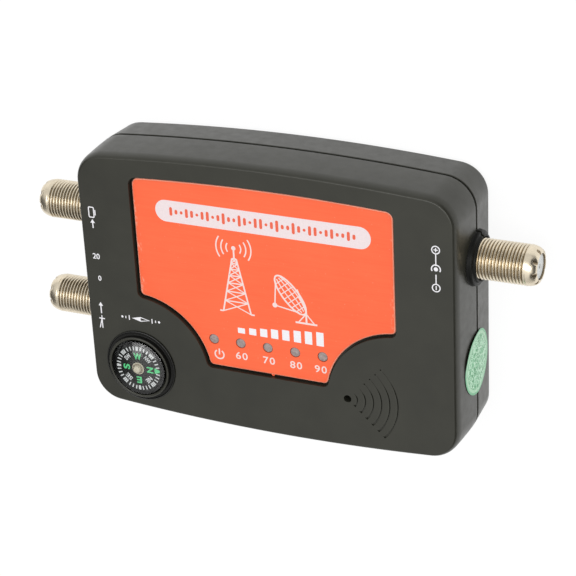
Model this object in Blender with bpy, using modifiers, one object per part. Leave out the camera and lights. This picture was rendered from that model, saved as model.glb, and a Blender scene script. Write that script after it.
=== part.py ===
"""Pocket signal meter for TV aerials: a two-part case with a recessed orange panel, five lamps,
a button compass, a sounder, an attenuator switch and three threaded F sockets.

Metres, +Z up. The meter lies on its back: the origin is the middle of the flat rear face, +X is the
right of the printed face, +Y is its top edge and +Z comes out of it.
"""

import math

import bmesh
import bpy
from mathutils import Matrix, Vector

MM = 0.001

# Gaps and overruns
SEAT_GAP = 0.3 * MM
FINE_GAP = 0.15 * MM
OVERRUN = 1.0 * MM

# Case outline at the parting line: a rectangle whose top and bottom edges are shallow arcs
CASE_HALF_WIDTH = 48.0 * MM
CASE_HALF_HEIGHT = 34.9 * MM
CASE_CROWN_RADIUS = 511.0 * MM
CASE_CORNER_RADIUS = 8.0 * MM
CASE_DEPTH = 23.0 * MM
PARTING_HEIGHT = 10.7 * MM
FRONT_DRAFT = 0.8 * MM
FRONT_EDGE_RADIUS = 0.7 * MM
REAR_DRAFT = 0.6 * MM
REAR_EDGE_RADIUS = 1.5 * MM
CASE_WALL = 2.2 * MM
FACE_THICKNESS = 2.8 * MM
FLOOR_THICKNESS = 2.2 * MM
INSIDE_CORNER_RADIUS = 5.0 * MM
LIP_WALL = 0.8 * MM
LIP_HEIGHT = 1.5 * MM

# Orange panel: flat sides, an arched top edge, and a round bite out of each lower corner, which
# leaves a tab with the lamps; margins are from the case's widest outline
PANEL_SIDE_MARGIN = 15.2 * MM
PANEL_TOP_MARGIN = 6.15 * MM
PANEL_BOTTOM_MARGIN = 16.45 * MM
PANEL_TAB_MARGIN = 0.9 * MM
PANEL_CROWN_RADIUS = 505.0 * MM
PANEL_CORNER_RADIUS = 1.7 * MM
PANEL_BITE_FILLET = 1.2 * MM
PANEL_THICKNESS = 0.6 * MM
PANEL_DROP = 0.9 * MM
PANEL_SIDE_GAP = 0.35 * MM

# Button compass; the bites of the panel are centred on it and on its mirror image
COMPASS_SIDE_MARGIN = 13.9 * MM
COMPASS_BOTTOM_MARGIN = 13.25 * MM
COMPASS_FLANGE_RADIUS = 9.3 * MM
COMPASS_FLANGE_THICKNESS = 0.35 * MM
COMPASS_RIM_RADIUS = 8.05 * MM
COMPASS_RIM_WIDTH = 0.6 * MM
COMPASS_RIM_HEIGHT = 1.25 * MM
COMPASS_CUP_DEPTH = 2.5 * MM
COMPASS_CUP_FLOOR = 0.6 * MM
COMPASS_LEDGE_WIDTH = 0.7 * MM
COMPASS_LEDGE_DEPTH = 0.6 * MM
LENS_WALL = 0.65 * MM
LENS_SIDE_HEIGHT = 2.0 * MM
LENS_DOME_HEIGHT = 1.2 * MM
DIAL_HEIGHT = 1.6 * MM
DIAL_THICKNESS = 0.4 * MM
DIAL_SIDE_GAP = 0.4 * MM
JEWEL_RADIUS = 1.45 * MM
JEWEL_CAP_HEIGHT = 0.4 * MM
JEWEL_STEM_RADIUS = 0.9 * MM
JEWEL_STEM_LENGTH = 1.3 * MM
JEWEL_PIT_RADIUS = 0.55 * MM
JEWEL_PIT_DEPTH = 1.0 * MM
PIVOT_PIN_RADIUS = 0.25 * MM
PIVOT_FOOT_RADIUS = 1.2 * MM
PIVOT_FOOT_HEIGHT = 0.5 * MM
PIVOT_TIP_LENGTH = 0.4 * MM
MAGNET_LENGTH = 8.0 * MM
MAGNET_WIDTH = 3.6 * MM
MAGNET_THICKNESS = 0.6 * MM

# Threaded sockets; the axis lies in the parting plane
SOCKET_UPPER_Y = 14.1 * MM
SOCKET_LOWER_Y = -11.8 * MM
SOCKET_REACH = 15.5 * MM
THREAD_RADIUS = 4.76 * MM
THREAD_DEPTH = 0.42 * MM
THREAD_PITCH = 0.794 * MM
THREAD_START = 0.3 * MM
THREAD_TURNS = 15
NOSE_LIP_RADIUS = 3.9 * MM
NOSE_LIP_BORE = 3.2 * MM
NOSE_LIP_THICKNESS = 0.3 * MM
SOCKET_BORE = 3.6 * MM
SOCKET_FLANGE_RADIUS = 5.7 * MM
SOCKET_FLANGE_THICKNESS = 1.2 * MM
SOCKET_LEG_LENGTH = 4.5 * MM
SOCKET_LEG_WIDTH = 1.2 * MM
SOCKET_LEG_HEIGHT = 1.4 * MM
SOCKET_LEG_SPREAD = 3.9 * MM
CONTACT_RADIUS = 0.45 * MM
CONTACT_MOUTH_DEPTH = 1.2 * MM
CONTACT_TAIL = 5.0 * MM
COLLAR_RADIUS = 6.4 * MM
COLLAR_HEIGHT = 1.3 * MM
COLLAR_RECESS_WALL = 0.65 * MM
COLLAR_RECESS_DEPTH = 0.7 * MM

# Circuit board under the socket contacts
BOARD_THICKNESS = 1.6 * MM
BOARD_END_MARGIN = 6.9 * MM
BOARD_CORNER_CUT = 9.0 * MM

# Lamps in a row across the tab of the panel
LAMP_BOTTOM_MARGIN = 6.95 * MM
LAMP_PITCH = 7.05 * MM
LAMP_COUNT = 5
LAMP_TIP_RADIUS = 1.2 * MM
LAMP_TIP_LENGTH = 1.3 * MM
LAMP_BODY_RADIUS = 1.45 * MM
LAMP_BODY_LENGTH = 3.4 * MM
LAMP_FLANGE_RADIUS = 1.75 * MM
LAMP_FLANGE_THICKNESS = 0.5 * MM
LAMP_LEAD_WIDTH = 0.5 * MM
LAMP_LEAD_SPREAD = 1.27 * MM
LAMP_RISE = 0.1 * MM

# Sounder, its hole and the moulded sound-wave grooves beside it
SOUNDER_SIDE_MARGIN = 27.6 * MM
SOUNDER_BOTTOM_MARGIN = 13.9 * MM
SOUNDER_RADIUS = 6.0 * MM
SOUNDER_HEADROOM = 1.45 * MM
SOUNDER_PORT_RADIUS = 1.2 * MM
SOUNDER_PORT_DEPTH = 1.5 * MM
SOUND_HOLE_RADIUS = 0.85 * MM
WAVE_COUNT = 6
WAVE_FIRST_RADIUS = 2.65 * MM
WAVE_PITCH = 2.03 * MM
WAVE_GROOVE_RADIUS = 0.28 * MM
WAVE_HALF_ANGLE = math.radians(44)

# Attenuator switch on the left wall, between the two left sockets
SWITCH_Y = 3.4 * MM
SWITCH_TRAVEL = 2.4 * MM
SWITCH_BODY_WIDTH = 4.4 * MM
SWITCH_BODY_LENGTH = 8.6 * MM
SWITCH_BODY_HEIGHT = 3.6 * MM
SWITCH_POCKET_DEPTH = 1.6 * MM
KNOB_LENGTH = 2.0 * MM
KNOB_HEIGHT = 1.8 * MM
KNOB_PROUD = 0.9 * MM
KNOB_SLOT_GAP = 0.4 * MM

# Screws and the posts that take them
CASE_POST_SIDE_MARGIN = 7.0 * MM
CASE_POST_END_MARGIN = 7.3 * MM
CASE_POST_RADIUS = 3.6 * MM
CASE_BOSS_RADIUS = 3.2 * MM
CASE_SCREW_RADIUS = 1.2 * MM
CASE_SCREW_HEAD_RADIUS = 2.4 * MM
CASE_SCREW_HEAD_HEIGHT = 1.6 * MM
CASE_SCREW_HEADROOM = 2.75 * MM
COUNTERBORE_DEPTH = 5.0 * MM
BOARD_POST_RADIUS = 2.6 * MM
BOARD_SCREW_RADIUS = 0.9 * MM
BOARD_SCREW_HEAD_RADIUS = 1.8 * MM
BOARD_SCREW_HEAD_HEIGHT = 1.2 * MM
BOARD_SCREW_BITE = 5.0 * MM
BOARD_POST_END_MARGIN = 4.5 * MM
BOARD_POST_UPPER_MARGIN = 13.2 * MM
BOARD_POST_LOWER_LEFT_MARGIN = 27.2 * MM
BOARD_POST_LOWER_RIGHT_MARGIN = 8.2 * MM
CROSS_SLOT_WIDTH = 0.5 * MM
CROSS_SLOT_DEPTH_SHARE = 0.55
CROSS_SLOT_LENGTH_SHARE = 1.2

# Parts on the board; side margins are from the board's edge to their middle
SHIELD_X = 4.0 * MM
SHIELD_CHIP_SPACING = 13.0 * MM
SHIELD_LENGTH = 22.0 * MM
SHIELD_WIDTH = 15.0 * MM
SHIELD_HEIGHT = 4.0 * MM
SHIELD_SHEET = 0.4 * MM
CHIP_X = 0.0
CHIP_LAMP_SPACING = 7.0 * MM
CHIP_LENGTH = 10.0 * MM
CHIP_WIDTH = 4.0 * MM
CHIP_THICKNESS = 1.6 * MM
CHIP_LEAD_COUNT = 8
CHIP_LEAD_PITCH = 1.27 * MM
CHIP_LEAD_WIDTH = 0.45 * MM
CHIP_LEAD_REACH = 1.0 * MM
CHIP_LEAD_THICKNESS = 0.3 * MM
SUPPLY_CAPACITOR_SIDE_MARGIN = 15.2 * MM
SUPPLY_CAPACITOR_Y = 12.0 * MM
SUPPLY_CAPACITOR_RADIUS = 3.15 * MM
SUPPLY_CAPACITOR_HEADROOM = 2.95 * MM
FILTER_CAPACITOR_SIDE_MARGIN = 16.2 * MM
FILTER_CAPACITOR_Y = 2.0 * MM
FILTER_CAPACITOR_RADIUS = 2.5 * MM
FILTER_CAPACITOR_HEIGHT = 5.0 * MM
CAPACITOR_CRIMP_DEPTH = 0.25 * MM
CAPACITOR_CRIMP_HEIGHT = 1.2 * MM
COIL_SIDE_MARGIN = 17.2 * MM
COIL_Y = 13.0 * MM
COIL_FLANGE_RADIUS = 3.0 * MM
COIL_CORE_RADIUS = 2.2 * MM
COIL_HEIGHT = 4.5 * MM
COIL_FLANGE_THICKNESS = 0.8 * MM
REGULATOR_SIDE_MARGIN = 14.2 * MM
REGULATOR_Y = 1.0 * MM
REGULATOR_RADIUS = 2.3 * MM
REGULATOR_FLAT_OFFSET = 1.2 * MM
REGULATOR_HEADROOM = 3.35 * MM
REGULATOR_LEAD_LENGTH = 2.0 * MM
REGULATOR_LEAD_WIDTH = 0.5 * MM
REGULATOR_LEAD_PITCH = 1.27 * MM

# Round sticker on the right wall, over the parting line
STICKER_Y = -12.5 * MM
STICKER_RADIUS = 7.9 * MM
STICKER_THICKNESS = 0.15 * MM

# Facet counts
CORNER_STEPS = 6
CROWN_STEPS = 6
EDGE_STEPS = 3
BITE_STEPS = 8
FILLET_STEPS = 3
SMALL_ROUND_STEPS = 12
MIDDLE_ROUND_STEPS = 20
SOCKET_ROUND_STEPS = 16
LARGE_ROUND_STEPS = 32
DOME_STEPS = 4
WAVE_STEPS = 7

# Heights worked out from the sizes above
FACE = CASE_DEPTH
PANEL_SURFACE = FACE - PANEL_DROP
RECESS_FLOOR = PANEL_SURFACE - PANEL_THICKNESS - SEAT_GAP
FACE_INSIDE = FACE - FACE_THICKNESS
AXIS_HEIGHT = PARTING_HEIGHT
BOARD_TOP = AXIS_HEIGHT - CONTACT_RADIUS - SEAT_GAP
BOARD_BOTTOM = BOARD_TOP - BOARD_THICKNESS
ON_BOARD = BOARD_TOP + SEAT_GAP
FRONT_RIM = PARTING_HEIGHT + SEAT_GAP / 2
REAR_RIM = PARTING_HEIGHT - SEAT_GAP / 2
ROOM_ON_BOARD = FACE_INSIDE - ON_BOARD
SOUNDER_HEIGHT = ROOM_ON_BOARD - SOUNDER_HEADROOM
SUPPLY_CAPACITOR_HEIGHT = ROOM_ON_BOARD - SUPPLY_CAPACITOR_HEADROOM
REGULATOR_HEIGHT = ROOM_ON_BOARD - REGULATOR_LEAD_LENGTH - REGULATOR_HEADROOM
CASE_SCREW_BITE = FACE_INSIDE - FRONT_RIM - CASE_SCREW_HEADROOM

# Places across the case worked out from the sizes above
SOCKET_FLANGE_FACE = CASE_HALF_WIDTH - CASE_WALL - FRONT_DRAFT - SEAT_GAP
SOCKET_FLANGE_BACK = SOCKET_FLANGE_FACE - SOCKET_FLANGE_THICKNESS
BOARD_HALF_WIDTH = SOCKET_FLANGE_BACK - SEAT_GAP
BOARD_HALF_HEIGHT = CASE_HALF_HEIGHT - BOARD_END_MARGIN
SOCKET_HOLE_RADIUS = THREAD_RADIUS + SEAT_GAP
SOCKETS = (
    ("power_socket", 1, SOCKET_UPPER_Y),
    ("tv_socket", -1, SOCKET_UPPER_Y),
    ("aerial_socket", -1, SOCKET_LOWER_Y),
)
CASE_POST_X = CASE_HALF_WIDTH - CASE_POST_SIDE_MARGIN
CASE_POST_Y = CASE_HALF_HEIGHT - CASE_POST_END_MARGIN
CASE_POST_PLACES = tuple(
    (side * CASE_POST_X, end * CASE_POST_Y) for end in (1, -1) for side in (-1, 1)
)
BOARD_POST_Y = BOARD_HALF_HEIGHT - BOARD_POST_END_MARGIN
BOARD_POST_PLACES = (
    (BOARD_POST_UPPER_MARGIN - BOARD_HALF_WIDTH, BOARD_POST_Y),
    (BOARD_HALF_WIDTH - BOARD_POST_UPPER_MARGIN, BOARD_POST_Y),
    (BOARD_POST_LOWER_LEFT_MARGIN - BOARD_HALF_WIDTH, -BOARD_POST_Y),
    (BOARD_HALF_WIDTH - BOARD_POST_LOWER_RIGHT_MARGIN, -BOARD_POST_Y),
)
COMPASS_X = COMPASS_SIDE_MARGIN - CASE_HALF_WIDTH
COMPASS_Y = COMPASS_BOTTOM_MARGIN - CASE_HALF_HEIGHT
PANEL_HALF_WIDTH = CASE_HALF_WIDTH - PANEL_SIDE_MARGIN
PANEL_TOP = CASE_HALF_HEIGHT - PANEL_TOP_MARGIN
PANEL_BOTTOM = PANEL_BOTTOM_MARGIN - CASE_HALF_HEIGHT
LAMP_ROW_HALF_LENGTH = (LAMP_COUNT - 1) / 2 * LAMP_PITCH
PANEL_BITE_RADIUS = -COMPASS_X - LAMP_ROW_HALF_LENGTH - PANEL_TAB_MARGIN
LAMP_Y = PANEL_BOTTOM + LAMP_BOTTOM_MARGIN
LAMP_PLACES = tuple(
    (step * LAMP_PITCH - LAMP_ROW_HALF_LENGTH, LAMP_Y) for step in range(LAMP_COUNT)
)
SOUNDER_X = CASE_HALF_WIDTH - SOUNDER_SIDE_MARGIN
SOUNDER_Y = SOUNDER_BOTTOM_MARGIN - CASE_HALF_HEIGHT
CHIP_Y = LAMP_Y + CHIP_LAMP_SPACING
SHIELD_Y = CHIP_Y + SHIELD_CHIP_SPACING
SUPPLY_CAPACITOR_X = BOARD_HALF_WIDTH - SUPPLY_CAPACITOR_SIDE_MARGIN
REGULATOR_X = BOARD_HALF_WIDTH - REGULATOR_SIDE_MARGIN
FILTER_CAPACITOR_X = FILTER_CAPACITOR_SIDE_MARGIN - BOARD_HALF_WIDTH
COIL_X = COIL_SIDE_MARGIN - BOARD_HALF_WIDTH
COMPASS_BORE = COMPASS_RIM_RADIUS - COMPASS_RIM_WIDTH
LENS_RADIUS = COMPASS_BORE - SEAT_GAP
LENS_BORE = LENS_RADIUS - LENS_WALL
DIAL_RADIUS = LENS_BORE - DIAL_SIDE_GAP
JEWEL_HOLE = JEWEL_STEM_RADIUS + SEAT_GAP
KNOB_HEIGHT_ABOVE_BOARD = SWITCH_BODY_HEIGHT / 2
KNOB_CENTRE_HEIGHT = ON_BOARD + KNOB_HEIGHT_ABOVE_BOARD


# Scene and materials


def clear_scene():
    for old in list(bpy.data.objects):
        bpy.data.objects.remove(old, do_unlink=True)


def collection(name):
    made = bpy.data.collections.new(name)
    bpy.context.scene.collection.children.link(made)
    return made


def material(name, colour, roughness, metallic=0.0, alpha=1.0):
    made = bpy.data.materials.new(name)
    made.use_nodes = True
    shader = made.node_tree.nodes["Principled BSDF"]
    shader.inputs["Base Color"].default_value = (*colour, 1.0)
    shader.inputs["Roughness"].default_value = roughness
    shader.inputs["Metallic"].default_value = metallic
    shader.inputs["Alpha"].default_value = alpha
    return made


clear_scene()
PARTS = collection("signal_meter")
CUTTERS = collection("cutters")

BLACK_PLASTIC = material("black_plastic", (0.035, 0.035, 0.031), 0.55)
GLOSS_BLACK = material("gloss_black", (0.008, 0.008, 0.008), 0.15)
ORANGE_PLATE = material("orange_plate", (0.9, 0.15, 0.05), 0.4)
CLEAR_PLASTIC = material("clear_plastic", (0.9, 0.92, 0.92), 0.05, alpha=0.35)
NICKEL = material("nickel", (0.62, 0.56, 0.46), 0.3, metallic=1.0)
BRASS = material("brass", (0.75, 0.55, 0.3), 0.3, metallic=1.0)
STEEL = material("steel", (0.5, 0.5, 0.5), 0.35, metallic=1.0)
WHITE_PLASTIC = material("white_plastic", (0.75, 0.76, 0.74), 0.45)
LAMP_GREY = material("lamp_grey", (0.28, 0.26, 0.25), 0.35)
BOARD_GREEN = material("board_green", (0.02, 0.15, 0.05), 0.45)
DARK_RESIN = material("dark_resin", (0.02, 0.02, 0.02), 0.5)
FERRITE = material("ferrite", (0.05, 0.05, 0.055), 0.6)
STICKER_GREEN = material("sticker_green", (0.2, 0.58, 0.33), 0.35)


# Building blocks


def add_cylinder(bm, radius, start, end, segments, end_radius=None):
    """A closed cylinder or cone from start to end."""
    start = Vector(start)
    end = Vector(end)
    along = end - start
    turn = Vector((0.0, 0.0, 1.0)).rotation_difference(along).to_matrix().to_4x4()
    place = Matrix.Translation((start + end) / 2) @ turn
    last = radius if end_radius is None else end_radius
    bmesh.ops.create_cone(bm, cap_ends=True, cap_tris=False, segments=segments, radius1=radius,
                          radius2=last, depth=along.length, matrix=place)


def add_post(bm, radius, place, bottom, top, segments):
    """An upright cylinder at an (x, y) place."""
    add_cylinder(bm, radius, (*place, bottom), (*place, top), segments)


def add_box(bm, low, high):
    """A box between two opposite corners."""
    low = Vector(low)
    high = Vector(high)
    place = Matrix.Translation((low + high) / 2) @ Matrix.Diagonal((*(high - low), 1.0))
    bmesh.ops.create_cube(bm, size=1.0, matrix=place)


def finish_mesh(bm, name):
    bmesh.ops.recalc_face_normals(bm, faces=bm.faces)
    mesh = bpy.data.meshes.new(name)
    bm.to_mesh(mesh)
    bm.free()
    return mesh


def piece(name, mesh, finish, location=(0.0, 0.0, 0.0), rotation=(0.0, 0.0, 0.0)):
    """One sub-part of the meter."""
    made = bpy.data.objects.new(name, mesh)
    if finish.name not in mesh.materials:
        mesh.materials.append(finish)
    made.location = location
    made.rotation_euler = rotation
    PARTS.objects.link(made)
    return made


def cutter(name, bm):
    """A hidden shape that cuts or joins another."""
    made = bpy.data.objects.new(name, finish_mesh(bm, name))
    made.hide_render = True
    made.display_type = "WIRE"
    CUTTERS.objects.link(made)
    return made


def boolean(target, tool, operation):
    step = target.modifiers.new(tool.name, "BOOLEAN")
    step.object = tool
    step.operation = operation
    step.solver = "EXACT"


def smooth(target, angle=math.radians(35)):
    target.data.shade_smooth()
    target.data.set_sharp_from_angle(angle=angle)


def baked(source, name):
    """The evaluated mesh of an object, which is then removed."""
    bpy.context.view_layer.update()
    graph = bpy.context.evaluated_depsgraph_get()
    mesh = bpy.data.meshes.new_from_object(source.evaluated_get(graph))
    mesh.name = name
    bm = bmesh.new()
    bm.from_mesh(mesh)
    bmesh.ops.remove_doubles(bm, verts=bm.verts, dist=FINE_GAP / 100)
    bmesh.ops.recalc_face_normals(bm, faces=bm.faces)
    bm.to_mesh(mesh)
    bm.free()
    bpy.data.objects.remove(source, do_unlink=True)
    return mesh


def turned_mesh(name, profile, steps):
    """A profile of (radius, height) points, listed from the top down its outer side and back up any
    bore, turned about Z. A solid shape starts and ends on the axis; a bored one closes on itself."""
    bm = bmesh.new()
    points = [bm.verts.new((radius, 0.0, height)) for radius, height in profile]
    for first, second in zip(points, points[1:]):
        bm.edges.new((first, second))
    if profile[0][0] > 0.0:
        bm.edges.new((points[-1], points[0]))
    mesh = bpy.data.meshes.new(name)
    bm.to_mesh(mesh)
    bm.free()
    holder = bpy.data.objects.new(name, mesh)
    PARTS.objects.link(holder)
    screw = holder.modifiers.new("turn", "SCREW")
    screw.axis = "Z"
    screw.angle = math.tau
    screw.steps = steps
    screw.render_steps = steps
    screw.use_merge_vertices = True
    screw.merge_threshold = FINE_GAP / 100
    return baked(holder, name)


def arc(centre, radius, start, end, steps):
    """Points along an arc; angles in radians, both ends included."""
    points = []
    for step in range(steps + 1):
        angle = start + (end - start) * step / steps
        points.append((centre[0] + radius * math.cos(angle), centre[1] + radius * math.sin(angle)))
    return points


def flat_mesh(name, points, thickness):
    """A flat outline made solid, half of its thickness to each side."""
    curve = bpy.data.curves.new(name, "CURVE")
    curve.dimensions = "2D"
    curve.fill_mode = "BOTH"
    curve.extrude = thickness / 2
    line = curve.splines.new("POLY")
    line.points.add(len(points) - 1)
    for point, (x, y) in zip(line.points, points):
        point.co = (x, y, 0.0, 1.0)
    line.use_cyclic_u = True
    holder = bpy.data.objects.new(name, curve)
    PARTS.objects.link(holder)
    return baked(holder, name)


def tubes_mesh(name, lines, radius):
    """Round bars along open lines of points, all in one mesh."""
    curve = bpy.data.curves.new(name, "CURVE")
    curve.dimensions = "3D"
    curve.bevel_depth = radius
    curve.bevel_resolution = 1
    curve.use_fill_caps = True
    for points in lines:
        line = curve.splines.new("POLY")
        line.points.add(len(points) - 1)
        for point, place in zip(line.points, points):
            point.co = (*place, 1.0)
    holder = bpy.data.objects.new(name, curve)
    PARTS.objects.link(holder)
    return baked(holder, name)


# Case


def case_outline(inset):
    """The case outline, anticlockwise, moved inwards by inset."""
    half_width = CASE_HALF_WIDTH - inset
    half_height = CASE_HALF_HEIGHT - inset
    crown = CASE_CROWN_RADIUS - inset
    corner = max(CASE_CORNER_RADIUS - inset, INSIDE_CORNER_RADIUS)
    crown_middle = half_height - crown
    corner_x = half_width - corner
    corner_y = crown_middle + math.sqrt((crown - corner) ** 2 - corner_x ** 2)
    meet = math.atan2(corner_y - crown_middle, corner_x)
    top = arc((corner_x, corner_y), corner, 0.0, meet, CORNER_STEPS)
    top += arc((0.0, crown_middle), crown, meet, math.pi - meet, CROWN_STEPS)[1:-1]
    top += arc((-corner_x, corner_y), corner, math.pi - meet, math.pi, CORNER_STEPS)
    return top + [(-x, -y) for x, y in top]


def loft(bm, sections):
    """A closed block through level sections, each (height, inset) of the case outline."""
    rings = []
    for height, inset in sections:
        rings.append([bm.verts.new((x, y, height)) for x, y in case_outline(inset)])
    for lower, upper in zip(rings, rings[1:]):
        count = len(lower)
        for index in range(count):
            following = (index + 1) % count
            bm.faces.new((lower[index], lower[following], upper[following], upper[index]))
    bm.faces.new(list(reversed(rings[0])))
    bm.faces.new(rings[-1])


def front_inset(height):
    """How far the front cover's outer wall has drawn in at a height."""
    return FRONT_DRAFT * (height - PARTING_HEIGHT) / (FACE - FRONT_EDGE_RADIUS - PARTING_HEIGHT)


def rear_inset(height):
    """How far the rear cover's outer wall has drawn in at a height."""
    return REAR_DRAFT * (PARTING_HEIGHT - height) / (PARTING_HEIGHT - REAR_EDGE_RADIUS)


def rounded_sections(level, inset, radius, sign):
    """Sections of a quarter-round edge from a level wall point, upwards or downwards by sign."""
    sections = []
    for step in range(1, EDGE_STEPS + 1):
        angle = math.pi / 2 * step / EDGE_STEPS
        rise = radius * math.sin(angle)
        sections.append((level + sign * rise, inset + radius * (1 - math.cos(angle))))
    return sections


def socket_shapes(name, radius, start, end, segments):
    """One cylinder along each socket's axis, from start to end as measured from the middle plane."""
    bm = bmesh.new()
    for _, side, y in SOCKETS:
        add_cylinder(bm, radius, (side * start, y, AXIS_HEIGHT), (side * end, y, AXIS_HEIGHT), segments)
    return cutter(name, bm)


def switch_slot(name):
    """The slot in the left wall that the switch knob runs in."""
    half_length = (SWITCH_TRAVEL + KNOB_LENGTH) / 2 + KNOB_SLOT_GAP
    half_height = KNOB_HEIGHT / 2 + KNOB_SLOT_GAP
    bm = bmesh.new()
    add_box(bm,
            (-CASE_HALF_WIDTH - OVERRUN, SWITCH_Y - half_length, KNOB_CENTRE_HEIGHT - half_height),
            (-CASE_HALF_WIDTH + CASE_WALL + FRONT_DRAFT + OVERRUN, SWITCH_Y + half_length,
             KNOB_CENTRE_HEIGHT + half_height))
    return cutter(name, bm)


def trim_slab(name, bottom, top):
    """A slab wider than the case and its collars."""
    reach_x = CASE_HALF_WIDTH + COLLAR_HEIGHT + OVERRUN
    reach_y = CASE_HALF_HEIGHT + OVERRUN
    bm = bmesh.new()
    add_box(bm, (-reach_x, -reach_y, bottom), (reach_x, reach_y, top))
    return cutter(name, bm)


def wave_lines():
    """The arcs of the sound-wave grooves, in the face plane, opening to the right."""
    lines = []
    for step in range(WAVE_COUNT):
        radius = WAVE_FIRST_RADIUS + step * WAVE_PITCH
        ring = arc((SOUNDER_X, SOUNDER_Y), radius, -WAVE_HALF_ANGLE, WAVE_HALF_ANGLE, WAVE_STEPS)
        lines.append([(x, y, FACE) for x, y in ring])
    return lines


def wave_cutter():
    made = bpy.data.objects.new("sound_waves", tubes_mesh("sound_waves", wave_lines(), WAVE_GROOVE_RADIUS))
    made.hide_render = True
    made.display_type = "WIRE"
    CUTTERS.objects.link(made)
    return made


def collars(name):
    return socket_shapes(name, COLLAR_RADIUS, CASE_HALF_WIDTH - CASE_WALL / 2,
                         CASE_HALF_WIDTH + COLLAR_HEIGHT, LARGE_ROUND_STEPS)


def cut_socket_holes(cover, prefix):
    """The clear hole of each socket and the shallow recess in its collar."""
    boolean(cover, socket_shapes(prefix + "_socket_holes", SOCKET_HOLE_RADIUS,
                                 SOCKET_FLANGE_BACK, CASE_HALF_WIDTH + COLLAR_HEIGHT + OVERRUN,
                                 LARGE_ROUND_STEPS), "DIFFERENCE")
    boolean(cover, socket_shapes(prefix + "_collar_recess", COLLAR_RADIUS - COLLAR_RECESS_WALL,
                                 CASE_HALF_WIDTH + COLLAR_HEIGHT - COLLAR_RECESS_DEPTH,
                                 CASE_HALF_WIDTH + COLLAR_HEIGHT + OVERRUN, LARGE_ROUND_STEPS), "DIFFERENCE")


def front_cover():
    below = PARTING_HEIGHT - OVERRUN
    edge = FACE - FRONT_EDGE_RADIUS
    bm = bmesh.new()
    loft(bm, [(below, front_inset(below)), (edge, FRONT_DRAFT)]
         + rounded_sections(edge, FRONT_DRAFT, FRONT_EDGE_RADIUS, 1))
    cover = piece("front_cover", finish_mesh(bm, "front_cover"), BLACK_PLASTIC)
    boolean(cover, collars("front_collars"), "UNION")
    boolean(cover, trim_slab("front_trim", AXIS_HEIGHT - COLLAR_RADIUS - OVERRUN, FRONT_RIM), "DIFFERENCE")

    bm = bmesh.new()
    loft(bm, [(below, CASE_WALL), (FACE_INSIDE, CASE_WALL + front_inset(FACE_INSIDE))])
    boolean(cover, cutter("front_cavity", bm), "DIFFERENCE")

    rebate_top = PARTING_HEIGHT + LIP_HEIGHT + SEAT_GAP
    rebate_inset = CASE_WALL - LIP_WALL - SEAT_GAP
    bm = bmesh.new()
    loft(bm, [(below, rebate_inset), (rebate_top, rebate_inset)])
    boolean(cover, cutter("lip_rebate", bm), "DIFFERENCE")

    inside = FACE_INSIDE + FACE_THICKNESS / 4
    bm = bmesh.new()
    for place in CASE_POST_PLACES:
        add_post(bm, CASE_BOSS_RADIUS, place, FRONT_RIM, inside, MIDDLE_ROUND_STEPS)
    for place in BOARD_POST_PLACES:
        add_post(bm, BOARD_POST_RADIUS, place, ON_BOARD, inside, SMALL_ROUND_STEPS)
    boolean(cover, cutter("front_posts", bm), "UNION")

    recess_depth = FACE - RECESS_FLOOR + OVERRUN
    recess = flat_mesh("panel_recess", panel_outline(PANEL_SIDE_GAP), recess_depth)
    recess.transform(Matrix.Translation((0.0, 0.0, RECESS_FLOOR + recess_depth / 2)))
    recess_cutter = bpy.data.objects.new("panel_recess", recess)
    recess_cutter.hide_render = True
    recess_cutter.display_type = "WIRE"
    CUTTERS.objects.link(recess_cutter)
    boolean(cover, recess_cutter, "DIFFERENCE")

    lamp_hole = LAMP_BODY_RADIUS + SEAT_GAP
    bm = bmesh.new()
    for place in CASE_POST_PLACES:
        add_post(bm, CASE_SCREW_RADIUS + SEAT_GAP, place, FRONT_RIM - OVERRUN,
                 FRONT_RIM + CASE_SCREW_BITE + SEAT_GAP, SMALL_ROUND_STEPS)
    for place in BOARD_POST_PLACES:
        add_post(bm, BOARD_SCREW_RADIUS + SEAT_GAP, place, ON_BOARD - OVERRUN,
                 ON_BOARD + BOARD_SCREW_BITE + SEAT_GAP, SMALL_ROUND_STEPS)
    for place in LAMP_PLACES:
        add_post(bm, lamp_hole, place, FACE_INSIDE - OVERRUN, RECESS_FLOOR + OVERRUN, SMALL_ROUND_STEPS)
    add_post(bm, SOUND_HOLE_RADIUS, (SOUNDER_X, SOUNDER_Y), FACE_INSIDE - OVERRUN, FACE + OVERRUN,
             SMALL_ROUND_STEPS)
    add_post(bm, COMPASS_RIM_RADIUS + SEAT_GAP, (COMPASS_X, COMPASS_Y), FACE_INSIDE - SEAT_GAP,
             FACE + OVERRUN, LARGE_ROUND_STEPS)
    boolean(cover, cutter("front_holes", bm), "DIFFERENCE")

    boolean(cover, wave_cutter(), "DIFFERENCE")
    cut_socket_holes(cover, "front")
    boolean(cover, switch_slot("front_switch_slot"), "DIFFERENCE")
    smooth(cover)
    return cover


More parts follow.
